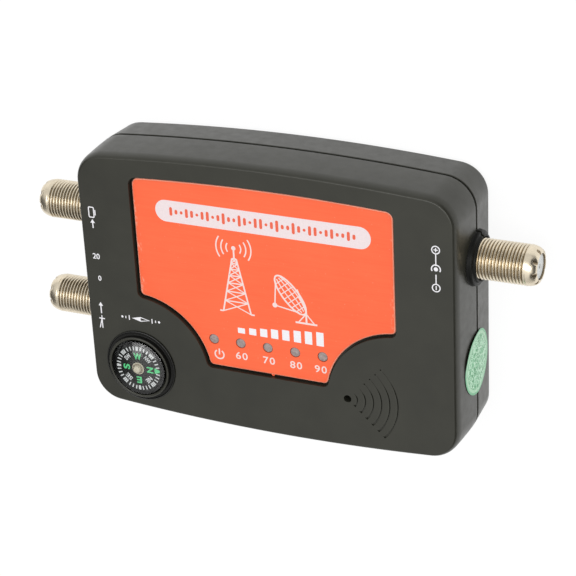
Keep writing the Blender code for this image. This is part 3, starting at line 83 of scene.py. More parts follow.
# ---- studio
WORLD_DIFFUSE = 0.72  # the world's strength as a fill
SHEEN_BASE, SHEEN_TOP = 0.09, 1.0  # its strength in reflections, all round and overhead
FLOOR_GLOW, FLOOR_SEEN = 1.06, 0.86  # the floor's own white, and its share where the floor is seen
LAMP_DISTANCE, LAMP_AIM = 0.8, Vector((0.0, 0.0, 0.015))  # in metres
EVEN = (1.0, 1.0, 1.0)  # the same on every axis or in every colour
# the camera solved from the photo: its place in millimetres, and its right, up and back axes
SENSOR, FOCAL_PIXELS, PICTURE_PIXELS = 36.0, 2028.685, 576
CAMERA_PLACE = Vector((187.219, 209.072, 403.168))
CAMERA_AXES = ((0.9116, -0.0465, -0.40843), (-0.13991, 0.89916, -0.41466), (0.38653, 0.43515, 0.81317))


# ---- materials


class Nodes:
    """Short calls that build one node tree."""

    def __init__(self, tree):
        self.tree = tree

    def node(self, kind, values=None, **settings):
        """A new node with its settings; values holds what goes into its inputs."""
        made = self.tree.nodes.new(kind)
        for key, value in settings.items():
            setattr(made, key, value)
        for key, value in (values or {}).items():
            self.put(value, made.inputs[key])
        return made

    def put(self, value, socket):
        """Links an output to a socket, or sets the socket to a plain value."""
        if isinstance(value, bpy.types.NodeSocket):
            self.tree.links.new(value, socket)
        else:
            socket.default_value = value

    def maths(self, operation, *values):
        return self.node("ShaderNodeMath", dict(enumerate(values)), operation=operation).outputs[0]

    def ranged(self, value, low, high, start=0.3, end=0.7, **settings):
        """A value carried from start and end to low and high, and held there beyond them."""
        values = {"Value": value, "From Min": start, "From Max": end, "To Min": low, "To Max": high}
        return self.node("ShaderNodeMapRange", values, **settings).outputs["Result"]


class Finish(Nodes):
    """A procedural material, laid out in the object's own coordinates."""

    def __init__(self, name, colour, roughness, **sockets):
        self.material = bpy.data.materials.new(name)
        self.material.use_nodes = True
        super().__init__(self.material.node_tree)
        self.shader = self.tree.nodes["Principled BSDF"]
        self.colour((*colour, 1.0))
        self.roughness(roughness)
        for key, value in sockets.items():
            self.put(value, self.shader.inputs[key.replace("_", " ")])
        self.place = self.node("ShaderNodeTexCoord").outputs["Object"]

    def colour(self, source):
        self.put(source, self.shader.inputs["Base Color"])

    def roughness(self, source):
        self.put(source, self.shader.inputs["Roughness"])

    def mapped(self, stretch, shift=(0.0, 0.0, 0.0)):
        values = {"Vector": self.place, "Location": shift, "Scale": stretch}
        return self.node("ShaderNodeMapping", values).outputs["Vector"]

    def axes(self, vector):
        return self.node("ShaderNodeSeparateXYZ", {0: vector}).outputs

    def noise(self, size, detail=3.0, stretch=EVEN, rough=0.55):
        """Noise whose features are about size millimetres, longer where stretch is small."""
        place, scale = self.mapped(stretch), 1.0 / (size * MM)
        values = {"Vector": place, "Scale": scale, "Detail": detail, "Roughness": rough}
        return self.node("ShaderNodeTexNoise", values).outputs["Fac"]

    def blend(self, share, first, second):
        """A colour between two, each a tuple or a socket."""
        made = self.node("ShaderNodeMix", {"Factor": share}, data_type="RGBA")
        for key, value in (("A", first), ("B", second)):
            socket = [each for each in made.inputs if each.name == key and each.type == "RGBA"][0]
            self.put((*value, 1.0) if isinstance(value, tuple) else value, socket)
        return [each for each in made.outputs if each.type == "RGBA"][0]

    def bump(self, height, depth):
        """Surface relief, depth in millimetres for a height of 0 to 1; calls add up."""
        made = self.node("ShaderNodeBump", {"Distance": depth * MM, "Height": height})
        before = self.shader.inputs["Normal"].links
        if before:
            self.put(before[0].from_socket, made.inputs["Normal"])
        self.put(made.outputs["Normal"], self.shader.inputs["Normal"])

    def mixed(self, share, first, second):
        """Makes the surface a mix of two shaders."""
        made = self.node("ShaderNodeMixShader", {0: share, 1: first.outputs[0], 2: second.outputs[0]})
        self.put(made.outputs[0], self.tree.nodes["Material Output"].inputs["Surface"])


def surface(name, colour, rough, cloud, shares, sheen, gloss, grain, depth, limits=(0.3, 0.7), **sockets):
    """A finish of three noises: cloud for the colour, sheen for the roughness and grain for the relief."""
    made = Finish(name, colour, rough, **sockets)
    darker, lighter = (tuple(min(1.0, c * share) for c in colour) for share in shares)
    made.colour(made.blend(made.ranged(made.noise(*cloud), 0.0, 1.0, *limits), darker, lighter))
    made.roughness(made.ranged(made.noise(*sheen), *gloss))
    made.bump(made.noise(*grain), depth)
    return made.material


def moulded(name, colour, rough, spread=0.12, grain=0.28, depth=0.012, **sockets):
    """Moulded plastic: a fine spark-eroded grain, faint cloudiness and uneven gloss."""
    return surface(name, colour, rough, (9.0, 2.0), (1 - spread, 1 + spread), (2.2, 4.0),
                   (rough - 0.05, rough + 0.05), (grain, 2.0, EVEN, 0.6), depth, **sockets)


def glossy(name, colour, rough):
    """Polished plastic: faint hairlines and finger haze in the gloss."""
    return surface(name, colour, rough, (3.0, 3.0), (0.8, 1.2), (0.6, 3.0, (1.0, 0.1, 1.0)),
                   (rough * 0.7, rough * 1.4), (1.6, 2.0), 0.004)


def metal(name, colour, rough, streak=(0.06, 1.0, 1.0)):
    """Turned or drawn metal: streaks of gloss and a thin uneven tarnish."""
    return surface(name, colour, rough, (1.4, 4.0), (0.82, 1.0), (0.25, 3.0, streak),
                   (rough * 0.75, rough * 1.3), (0.25, 2.0, streak), 0.004, Metallic=1.0)


def ink(name, colour):
    """Screen-printed ink: slightly uneven cover and pinholes."""
    return surface(name, colour, 0.42, (0.35, 4.0), (0.9, 1.0), (0.2, 2.0), (0.36, 0.5), (0.12, 2.0), 0.004,
                   (0.25, 0.75))


def panel_finish():
    """Orange sheet: fine streaks along its length, scuffs near its ends and a few pale specks."""
    made = Finish("panel_orange", (0.95, 0.155, 0.055), 0.38)
    streak = made.noise(0.3, 4.0, (0.03, 1.0, 1.0), 0.7)
    base = made.blend(made.ranged(streak, 0.0, 1.0, 0.25, 0.75), (0.95, 0.112, 0.032), (0.98, 0.146, 0.046))
    base = made.blend(made.ranged(made.noise(14.0, 2.0), 0.0, 0.35), base, (0.99, 0.16, 0.056))
    near_end = made.ranged(made.maths("ABSOLUTE", made.axes(made.place)[0]), 0.0, 1.0, 31.2 * MM, 32.6 * MM)
    worn = made.ranged(made.noise(0.9, 4.0, (1.0, 0.5, 1.0), 0.7), 0.0, 1.0, 0.56, 0.68)
    specks = made.ranged(made.noise(0.5, 1.0), 0.0, 0.35, 0.74, 0.8)
    marks = made.maths("MAXIMUM", made.maths("MULTIPLY", near_end, worn), specks)
    made.colour(made.blend(marks, base, (0.96, 0.42, 0.3)))
    made.roughness(made.ranged(streak, 0.3, 0.48))
    made.bump(streak, 0.006)
    made.bump(made.noise(0.16, 2.0), 0.003)
    return made.material


def sticker_finish(centre):
    """A pale green seal with a fine maze of pale lines inside two rings, laid out round its centre."""
    made = Finish("seal_green", (0.3, 0.6, 0.4), 0.32)
    _, across, up = made.axes(made.mapped((1 / MM,) * 3, tuple(-c for c in centre)))
    squares = [made.maths("MULTIPLY", way, way) for way in (across, up)]
    radius = made.maths("SQRT", made.maths("ADD", *squares))

    def maze(size, level, half, stretch=EVEN):
        """Thin lines where a noise passes a level."""
        off = made.maths("ABSOLUTE", made.maths("SUBTRACT", made.noise(size, 1.5, stretch), level))
        return made.ranged(off, 1.0, 0.0, half * 0.5, half)

    lines = made.maths("MAXIMUM", maze(1.5, 0.5, 0.05), maze(1.2, 0.43, 0.04, (1.0, 1.0, 0.8)))
    deep, green, pale = (0.05, 0.33, 0.12), (0.13, 0.48, 0.22), (0.52, 0.86, 0.6)
    base = made.blend(made.ranged(made.noise(2.6, 3.0), 0.0, 1.0, 0.38, 0.62), deep, green)
    inner = made.ranged(radius, 1.0, 0.0, 6.45, 6.6)
    drawn = made.blend(made.maths("MULTIPLY", lines, inner), base, pale)
    ringed = made.blend(made.ranged(radius, 0.0, 1.0, 6.55, 6.7), drawn, (0.42, 0.74, 0.48))
    made.colour(made.blend(made.ranged(radius, 0.0, 1.0, 7.3, 7.45), ringed, (0.16, 0.52, 0.27)))
    made.roughness(made.ranged(made.noise(0.5, 3.0), 0.22, 0.42))
    made.bump(lines, 0.01)
    made.bump(made.noise(2.5, 2.0), 0.03)
    return made.material


def lamp_finish():
    """Milky lamp resin: cloudy grey with paler flecks."""
    made = Finish("lamp_resin", (0.3, 0.28, 0.27), 0.45)
    cloud, fleck = made.noise(0.55, 4.0), made.noise(0.2, 2.0)
    base = made.blend(made.ranged(cloud, 0.0, 1.0), (0.21, 0.17, 0.16), (0.39, 0.32, 0.3))
    made.colour(made.blend(made.ranged(fleck, 0.0, 0.6, 0.55, 0.75), base, (0.5, 0.42, 0.4)))
    made.roughness(made.ranged(cloud, 0.35, 0.6))
    made.bump(fleck, 0.02)
    return made.material


def clear_finish(name, facing, grazing, bright):
    """Clear plastic: what lies behind shows, with a sheen whose share grows from facing to grazing."""
    made = Finish(name, EVEN, 0.05)
    through = made.node("ShaderNodeBsdfTransparent", {"Color": (0.975, 0.985, 0.98, 1.0)})
    haze = made.ranged(made.noise(1.1, 3.0), 0.05, 0.08)
    sheen = made.node("ShaderNodeBsdfGlossy", {"Color": (bright, bright, bright, 1.0), "Roughness": haze})
    weight = made.node("ShaderNodeLayerWeight", {"Blend": 0.5})
    steep = made.maths("POWER", weight.outputs["Facing"], 5.0)
    made.mixed(made.maths("MULTIPLY_ADD", steep, grazing - facing, facing), through, sheen)
    made.tree.nodes.remove(made.shader)
    return made.material


def board_finish():
    """Green solder mask over faint copper tracks."""
    made = Finish("solder_mask", (0.015, 0.16, 0.05), 0.3)
    values = {"Vector": made.place, "Scale": 260.0, "Mortar Size": 0.06}
    tracks = made.node("ShaderNodeTexBrick", values).outputs["Fac"]
    made.colour(made.blend(tracks, (0.012, 0.13, 0.04), (0.03, 0.24, 0.08)))
    made.roughness(made.ranged(made.noise(1.2, 3.0), 0.22, 0.4))
    made.bump(tracks, 0.02)
    made.bump(made.noise(0.3, 2.0), 0.004)
    return made.material


BLACK = moulded("case_black", (0.0235, 0.0235, 0.0175), 0.33, Specular_Tint=(1.0, 1.0, 0.94, 1.0))
# the collars get a darker, less shiny copy of the case black: painted shade
COLLAR_SHADE = moulded("collar_black_painted_shade", (0.008, 0.008, 0.007), 0.42, grain=0.2, depth=0.005,
                 Specular_IOR_Level=0.15)
GLOSS = glossy("gloss_black", (0.006, 0.006, 0.005), 0.17)
CARD = moulded("card_black", (0.006, 0.006, 0.005), 0.5, grain=0.12, depth=0.004,
               Specular_IOR_Level=0.3)
ORANGE = panel_finish()
# pale pink on the plate's rounded edge: partly the plate's own pale edge, partly painted highlight
PALE_EDGE_AND_HIGHLIGHT = moulded("panel_edge_and_highlight", (0.93, 0.33, 0.22), 0.38, grain=0.1, depth=0.005)
CLEAR = clear_finish("clear_cover", 0.2, 0.55, 0.3)
CLEAR_INSIDE = clear_finish("clear_inside", 0.004, 0.08, 0.5)
NICKEL = metal("nickel_plate", (0.86, 0.76, 0.59), 0.28)
# a darker, browner copy of the nickel for the grooves, notches and mouth: painted shade in the hollows
GROOVE_SHADE = metal("nickel_groove_shade", (0.35, 0.275, 0.18), 0.36)
BRASS = metal("brass_metal", (0.74, 0.55, 0.3), 0.3)
STEEL = metal("steel_metal", (0.52, 0.52, 0.51), 0.32, EVEN)
TIN = metal("tin_sheet", (0.62, 0.62, 0.6), 0.36, (0.08, 1.0, 1.0))
WHITE = moulded("insulator_white", (0.78, 0.8, 0.79), 0.4, 0.05, 0.2, 0.006)
LAMP = lamp_finish()
BOARD = board_finish()
RESIN = moulded("dark_resin", (0.018, 0.018, 0.018), 0.5, 0.2, 0.15, 0.01)
FERRITE = moulded("ferrite_grey", (0.05, 0.05, 0.055), 0.62, 0.2, 0.2, 0.03)
SEAL = sticker_finish((48.0, -12.5, 10.7))
# near-black for the seal's sides and underside: painted shadow under its lifted edge
SEAL_PAINTED_SHADOW = moulded("seal_edge_painted_shadow", (0.02, 0.035, 0.02), 0.6, grain=0.1, depth=0.004)
CARD_WHITE = ink("card_white", (0.96, 0.96, 0.97))
WHITE_INK = ink("white_ink", (0.88, 0.87, 0.9))
WARM_INK = ink("warm_ink", (0.9, 0.72, 0.69))
PILL_INK = ink("pill_ink", (0.86, 0.74, 0.75))
ORANGE_INK = ink("orange_ink", (0.86, 0.13, 0.06))
GREEN_INK = ink("green_ink", (0.15, 0.93, 0.36))
CREAM = moulded("jewel_cream", (0.86, 0.77, 0.6), 0.3, 0.08, 0.2, 0.005)
COPPER_BROWN = moulded("jewel_ring", (0.36, 0.3, 0.22), 0.22, 0.3, 0.2, 0.006)


# ---- meshes


def polar(radius, angle, centre=(0.0, 0.0)):
    return centre[0] + radius * cos(angle), centre[1] + radius * sin(angle)


def arc(centre, radius, start, end, steps):
    return [polar(radius, start + (end - start) * step / steps, centre) for step in range(steps + 1)]


def circle(level, radius, steps):
    """A ring of points round Z; radius is a number or depends on the share of a turn."""
    at = radius if callable(radius) else lambda share: radius
    return [(*polar(at(step / steps), tau * step / steps), level) for step in range(steps)]


def softened(points, radius, steps=3, closed=False):
    """A line of points with each corner rounded."""
    count = len(points)
    made = []
    for index, here in enumerate(points):
        if not closed and index in (0, count - 1):
            made.append(here)
            continue
        here = Vector(here)
        before = Vector(points[index - 1]) - here
        after = Vector(points[(index + 1) % count]) - here
        reach = min(radius, before.length * 0.45, after.length * 0.45)
        start, end = here + before.normalized() * reach, here + after.normalized() * reach
        for step in range(steps + 1):
            t = step / steps
            made.append(tuple(start * (1 - t) ** 2 + here * 2 * t * (1 - t) + end * t * t))
    return made


def stack(rings, cap=True, closed=False):
    """A surface through rings, each a list of as many points or a single point."""
    bm = bmesh.new()
    made = [[bm.verts.new(point) for point in ring] for ring in rings]
    for lower, upper in list(zip(made, made[1:])) + ([(made[-1], made[0])] if closed else []):
        count = max(len(lower), len(upper))
        for index in range(count if count > 1 else 0):
            following = (index + 1) % count
            corners = [lower[0]] if len(lower) == 1 else [lower[index], lower[following]]
            corners += [upper[0]] if len(upper) == 1 else [upper[following], upper[index]]
            bm.faces.new(corners)
    if cap and not closed:
        for ring in (made[0], made[-1]):
            if len(ring) > 1:
                bm.faces.new(ring)
    bmesh.ops.recalc_face_normals(bm, faces=bm.faces)
    return bm


def turned(profile, steps=96):
    """A profile of (radius, height) points turned about Z: solid if it starts on the axis."""
    rings = [circle(height, radius, steps) if radius > 1e-6 else [(0.0, 0.0, height)]
             for radius, height in profile]
    return stack(rings, cap=False, closed=len(rings[0]) > 1)


def moved(bm, matrix):
    bmesh.ops.transform(bm, matrix=matrix, verts=bm.verts)
    return bm


def shifted(bm, x=0.0, y=0.0, z=0.0):
    return moved(bm, Matrix.Translation((x, y, z)))


def joined(*parts):
    """Several meshes in one."""
    whole = bmesh.new()
    for part in parts:
        mesh = bpy.data.meshes.new("part")
        part.to_mesh(mesh)
        part.free()
        whole.from_mesh(mesh)
        bpy.data.meshes.remove(mesh)
    return whole


def post(radius, place, bottom, top, steps=48):
    return shifted(turned([(0.0, bottom), (radius, bottom), (radius, top), (0.0, top)], steps), *place)


def posts(radius, places, bottom, top):
    """A post at each place, in one mesh."""
    return joined(*(post(radius, place, bottom, top) for place in places))


def box(low, high):
    bm = bmesh.new()
    low, high = Vector(low), Vector(high)
    place = Matrix.Translation((low + high) / 2) @ Matrix.Diagonal((*(high - low), 1.0))
    bmesh.ops.create_cube(bm, size=1.0, matrix=place)
    return bm


def rounded_box(low, high, radius, steps=3):
    bm = box(low, high)
    bmesh.ops.bevel(bm, geom=bm.edges[:], offset=radius, segments=steps, affect="EDGES", profile=0.5)
    return bm


def layers(sections):
    """A solid through level outlines, each (level, points)."""
    return stack([[(x, y, level) for x, y in points] for level, points in sections])


def prism(points, bottom, top):
    return layers([(bottom, points), (top, points)])


def placed(name, data):
    """A new object in the scene."""
    made = bpy.data.objects.new(name, data)
    bpy.context.scene.collection.objects.link(made)
    return made


def holder(bm, name="tool"):
    mesh = bpy.data.meshes.new(name)
    bm.to_mesh(mesh)
    bm.free()
    return placed(name, mesh)


def baked(source):
    """The evaluated mesh of a scratch object, which is then removed."""
    bpy.context.view_layer.update()
    mesh = bpy.data.meshes.new_from_object(source.evaluated_get(bpy.context.evaluated_depsgraph_get()))
    bm = bmesh.new()
    bm.from_mesh(mesh)
    bmesh.ops.remove_doubles(bm, verts=bm.verts, dist=0.0004)
    bmesh.ops.recalc_face_normals(bm, faces=bm.faces)
    bpy.data.meshes.remove(mesh)
    bpy.data.objects.remove(source, do_unlink=True)
    return bm


def carved(base, *steps):
    """A shape after joins and cuts, each "UNION" or "DIFFERENCE" and a shape."""
    target = holder(base, "base")
    tools = []
    for operation, shape in steps:
        tool = holder(shape)
        modifier = target.modifiers.new(tool.name, "BOOLEAN")
        modifier.object = tool
        modifier.operation = operation
        modifier.solver = "EXACT"
        tools.append(tool)
    bm = baked(target)
    for tool in tools:
        bpy.data.objects.remove(tool, do_unlink=True)
    return bm


def show(name, bm, finishes, body="body", replaces=(), angle=32.0, choose=None, weighted=False):
    """One visible piece: its shape in millimetres, its finishes and what it rides on."""
    moved(bm, Matrix.Scale(MM, 4))
    mesh = bpy.data.meshes.new(name)
    for finish in finishes if isinstance(finishes, list) else [finishes]:
        mesh.materials.append(finish)
    for face in bm.faces:
        face.smooth = True
        face.material_index = choose(face.calc_center_median() / MM, face.normal) if choose else 0
    bm.to_mesh(mesh)
    bm.free()
    mesh.set_sharp_from_angle(angle=radians(angle))
    made = placed(name, mesh)
    if weighted:
        made.modifiers.new("normals", "WEIGHTED_NORMAL").keep_sharp = True
    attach(made, body)
    if replaces:
        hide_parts(*replaces)


# ---- case


def crowned(corner, half_width, crown, top, corner_steps, crown_steps):
    """The upper half of an outline: its right corner, its wide top arc and its left corner."""
    middle = top - crown
    x = half_width - corner
    y = middle + sqrt((crown - corner) ** 2 - x ** 2)
    meet = atan2(y - middle, x)
    right = arc((x, y), corner, 0.0, meet, corner_steps)
    return right, arc((0.0, middle), crown, meet, pi - meet, crown_steps)[1:-1]


def case_outline(inset):
    inset -= STAND
    right, top = crowned(max(CORNER - inset, LEAST_CORNER), HALF_WIDTH - inset, CROWN - inset,
                         HALF_HEIGHT - inset, 14, 40)
    upper = right + top + [(-x, y) for x, y in reversed(right)]
    return upper + [(-x, -y) for x, y in upper]


def loft(*sections):
    return layers([(level, case_outline(inset)) for level, inset in sections])


def front_inset(level):
    """How far the front wall stands in: nearly upright at the parting line, leaning in towards the face."""
    rise = max(0.0, (level - PARTING) / (FACE - FRONT_TALL - PARTING))
    return FRONT_DRAFT * (0.4 * rise + 0.6 * rise ** 2)


def rear_inset(level):
    return REAR_DRAFT * (PARTING - level) / (PARTING - REAR_EDGE)


def edge_sections(end, tall, wide, inset_at, sign, steps=9):
    """The edge from the drawn-in wall to a flat end level: a quarter of an ellipse."""
    lean, start = 0.0, end - sign * tall
    for _ in range(4):
        slope = abs(inset_at(start + 0.01) - inset_at(start - 0.01)) / 0.02
        lean = atan(slope * tall / wide)
        start = end - sign * tall * (1 - sin(lean))
    angles = [lean + (pi / 2 - lean) * step / steps for step in range(steps + 1)]
    return [(end - sign * tall * (1 - sin(angle)), inset_at(start) + wide * (cos(lean) - cos(angle)))
            for angle in angles]


def rim_sections(level, inset_at, sign, steps=3):
    """The softened edge beside the parting line, from a straight run beyond it."""
    sections = [(level - sign * 1.0, inset_at(level) + RIM_SOFT)]
    for step in range(steps + 1):
        angle = pi / 2 * step / steps
        at = level + sign * RIM_SOFT * (1 - cos(angle))
        sections.append((at, inset_at(at) + RIM_SOFT * (1 - sin(angle))))
    return sections


def along_socket(shape, side, y):
    """Lays a shape made along +Z from the case's side plane on a socket's axis."""
    turn = Matrix.Rotation(pi / 2, 4, "Y")
    if side < 0:
        turn = Matrix.Rotation(pi, 4, "Z") @ turn
    return moved(shape, Matrix.Translation((side * HALF_WIDTH, y, PARTING)) @ turn)


def each_socket(profile):
    return joined(*(along_socket(turned(profile), side, y) for _, side, y in SOCKETS))


def collars():
    """The stepped rings that stand round the sockets."""
    outside = [(0.0, -1.1), (6.9, -1.1), (6.9, -0.4), (6.6, 0.1), (6.5, 0.4), (6.45, 1.15), (5.85, 1.25),
               (5.7, 1.35), (5.6, 1.8), (0.0, 1.8)]
    return "UNION", each_socket(softened(outside, 0.22, 4))


def socket_holes():
    hole = [(0.0, -6.0), (4.9, -6.0), (4.9, 1.4), (5.15, 1.82), (5.15, 3.0), (0.0, 3.0)]
    return "DIFFERENCE", each_socket(softened(hole, 0.1, 2))


def switch_window():
    low, high = (-49.2, SWITCH_Y - 2.6, KNOB_Z - 1.3), (-44.0, SWITCH_Y + 2.6, KNOB_Z + 1.3)
    return "DIFFERENCE", rounded_box(low, high, 0.25, 3)


def on_collar(place, normal):
    """1 on the rings that stand round the sockets, which take the painted shade, 0 elsewhere."""
    for _, side, y in SOCKETS:
        out = side * place.x - HALF_WIDTH
        proud = out > 0.25 or (abs(normal.x) < 0.9 and out > -0.3)
        if proud and hypot(place.y - y, place.z - PARTING) < 6.72:
            return 1
    return 0


def wave_grooves(first=2.65, pitch=2.03, count=6, half=radians(44), steps=44):
    """Sound waves: a soft slope into a narrow line that fades upwards, in the outer ones to a pit."""
    wide, over = 0.85, 0.12  # a groove's width, and how far its tool stands above the face
    pit = [(0.0, FACE - 0.3), (0.1, FACE - 0.3), (0.21, FACE + 0.1), (0.0, FACE + 0.1)]
    shapes = []
    for index in range(count):
        outer = first + index * pitch
        rings = []
        for step in range(steps + 1):
            angle = -half + 2 * half * step / steps
            fade = 1 - 0.85 * min(1.0, max(0.0, (angle - 0.1) / 0.45))
            foot = max(0.0, 1 - (angle + half) / 0.55) ** 1.5
            low, slot = -(0.12 + 0.04 * foot) * fade, -(0.5 - 0.1 * foot) * fade
            line = outer - 0.27 - 0.07 * foot
            section = [(outer - wide, 0.02), (line - 0.05, low), (line, slot), (outer - 0.02, slot),
                       (outer + 0.02, over), (outer - wide, over)]
            rings.append([(*polar(radius, angle, SOUNDER), FACE + z) for radius, z in section])
        shapes.append(stack(rings))
        if index > 1:
            shapes.append(shifted(turned(pit, 20), *polar(outer - 0.3, half + 0.05, SOUNDER)))
    return "DIFFERENCE", joined(*shapes)


def clearance(bottom, top):
    """Cuts off all between two levels."""
    return "DIFFERENCE", box((-50.5, -36.0, bottom), (50.5, 36.0, top))


def panel_outline(grow, fillet_steps=8, bite_steps=40, crown_steps=30):
    """The orange plate's outline: a crowned top and a bite at each lower corner."""
    half_width, bottom, crown, shift = 32.8 + grow, -18.45 - grow, 505.0 + grow, -0.2
    corner, bite, fillet = 1.7 + grow, 19.1 - grow, 1.2 + grow
    bite_x, bite_y = -COMPASS[0], COMPASS[1]
    low_y = bottom + fillet
    low_x = bite_x - sqrt((bite + fillet) ** 2 - (low_y - bite_y) ** 2)
    side_x = half_width - fillet
    side_y = bite_y + sqrt((bite + fillet) ** 2 - (bite_x - side_x) ** 2)
    low_meet = atan2(low_y - bite_y, low_x - bite_x)
    side_meet = atan2(side_y - bite_y, side_x - bite_x)
    right = arc((low_x, low_y), fillet, -pi / 2, low_meet - pi, fillet_steps)
    right += arc((bite_x, bite_y), bite, low_meet, side_meet, bite_steps)[1:-1]
    right += arc((side_x, side_y), fillet, side_meet - pi, 0.0, fillet_steps)
    upper, top = crowned(corner, half_width, crown, 28.75 + grow, fillet_steps, crown_steps)
    right += upper
    return [(x + shift, y) for x, y in right + top + [(-x, y) for x, y in reversed(right)]]


def front_case():
    """The front half: rim, wall and edge, with collars, bosses, recess, holes and grooves."""
    rim = rim_sections(FRONT_RIM, front_inset, 1)
    edge = edge_sections(FACE, FRONT_TALL, FRONT_WIDE, front_inset, 1, 12)
    low, high = rim[-1][0], edge[0][0]
    between = [low + (high - low) * step / 9 for step in range(1, 9)]
    wall = rim + [(level, front_inset(level)) for level in between] + edge
    below, boss_top = PARTING - 1.0, FACE_INSIDE + 0.7
    bosses = joined(posts(CASE_BOSS, CASE_POSTS, FRONT_RIM, boss_top),
                    posts(BOARD_BOSS, BOARD_POSTS, BOARD_LEVEL, boss_top))
    sound_hole = [(0.0, FACE_INSIDE - 1), (SOUND_HOLE, FACE_INSIDE - 1), (SOUND_HOLE, FACE - 0.12),
                  (SOUND_MOUTH, FACE + 0.04), (SOUND_MOUTH, FACE + 1), (0.0, FACE + 1)]
    holes = joined(posts(CASE_HOLE, CASE_POSTS, FRONT_RIM - 1, CASE_HOLE_END),
                   posts(BOARD_HOLE, BOARD_POSTS, BOARD_LEVEL - 1, BOARD_HOLE_END),
                   posts(LAMP_HOLE, LAMPS, FACE_INSIDE - 1, RECESS_FLOOR + 1),
                   shifted(turned(softened(sound_hole, 0.1), 48), *SOUNDER),
                   post(COMPASS_HOLE, COMPASS, FACE_INSIDE - 0.3, FACE + 1, 96))
    shape = carved(
        loft(*wall), collars(), clearance(3.0, FRONT_RIM),
        ("DIFFERENCE", loft((below, WALL), (FACE_INSIDE, WALL + front_inset(FACE_INSIDE)))),
        ("DIFFERENCE", loft((below, WALL / 2), (TONGUE_ROOM, WALL / 2))),
        ("UNION", bosses),
        ("DIFFERENCE", prism(panel_outline(PANEL_GAP), RECESS_FLOOR, FACE + 1)),
        ("DIFFERENCE", holes),
        wave_grooves(), socket_holes(), switch_window())
    show("front_case", shape, [BLACK, COLLAR_SHADE], replaces=["front_cover"],
         weighted=True, choose=on_collar)


def rear_case():
    """The rear half: a tray with a tongue round its rim and four screw posts."""
    wall = rim_sections(REAR_RIM, rear_inset, -1) + edge_sections(0.0, REAR_EDGE, REAR_EDGE, rear_inset, -1)
    shape = carved(
        loft(*wall), collars(), clearance(REAR_RIM, 19.0),
        ("UNION", loft((TONGUE_FOOT, TONGUE_IN + rear_inset(TONGUE_FOOT)), (TONGUE_TOP, TONGUE_IN))),
        ("DIFFERENCE", loft((FLOOR, WALL + rear_inset(FLOOR)), (PARTING, WALL), (TONGUE_TOP + 1, WALL))),
        ("UNION", posts(CASE_POST, CASE_POSTS, FLOOR / 2, REAR_RIM)),
        ("DIFFERENCE", posts(HEAD_HOLE, CASE_POSTS, -1.0, HEAD_HOLE_END)),
        ("DIFFERENCE", posts(CASE_HOLE, CASE_POSTS, HEAD_HOLE_END - 1, 11.6)),
        socket_holes(), switch_window())
    show("rear_case", shape, [BLACK, COLLAR_SHADE], replaces=["rear_cover"],
         weighted=True, choose=on_collar)


# ---- panel and prints


def panel_plate():
    """The orange plate, with a soft edge, a small nub on its lower edge and the LED holes."""
    soft = 0.27
    sections = [(PANEL_TOP - PANEL_THICK, 0.0)]
    for step in range(5):
        angle = pi / 2 * step / 4
        sections.append((PANEL_TOP - soft * (1 - sin(angle)), -soft * (1 - cos(angle))))
    plate = layers([(level, panel_outline(grow)) for level, grow in sections])
    nub = post(0.45, (1.0, -18.4), PANEL_TOP - 0.5, PANEL_TOP - 0.12, 24)
    holes = posts(PANEL_HOLE, LAMPS, RECESS_FLOOR - 1, PANEL_TOP + 1)

    # the rounded edge and the nub's sides take the pale edge colour, partly painted highlight
    def choose(place, normal):
        near_lamp = min((Vector(lamp) - place.xy).length for lamp in LAMPS) < 1.6
        return 1 if normal.z < 0.985 and not near_lamp else 0

    show("panel_plate", carved(plate, ("UNION", nub), ("DIFFERENCE", holes)), [ORANGE, PALE_EDGE_AND_HIGHLIGHT],
         replaces=["front_panel"], choose=choose, weighted=True)


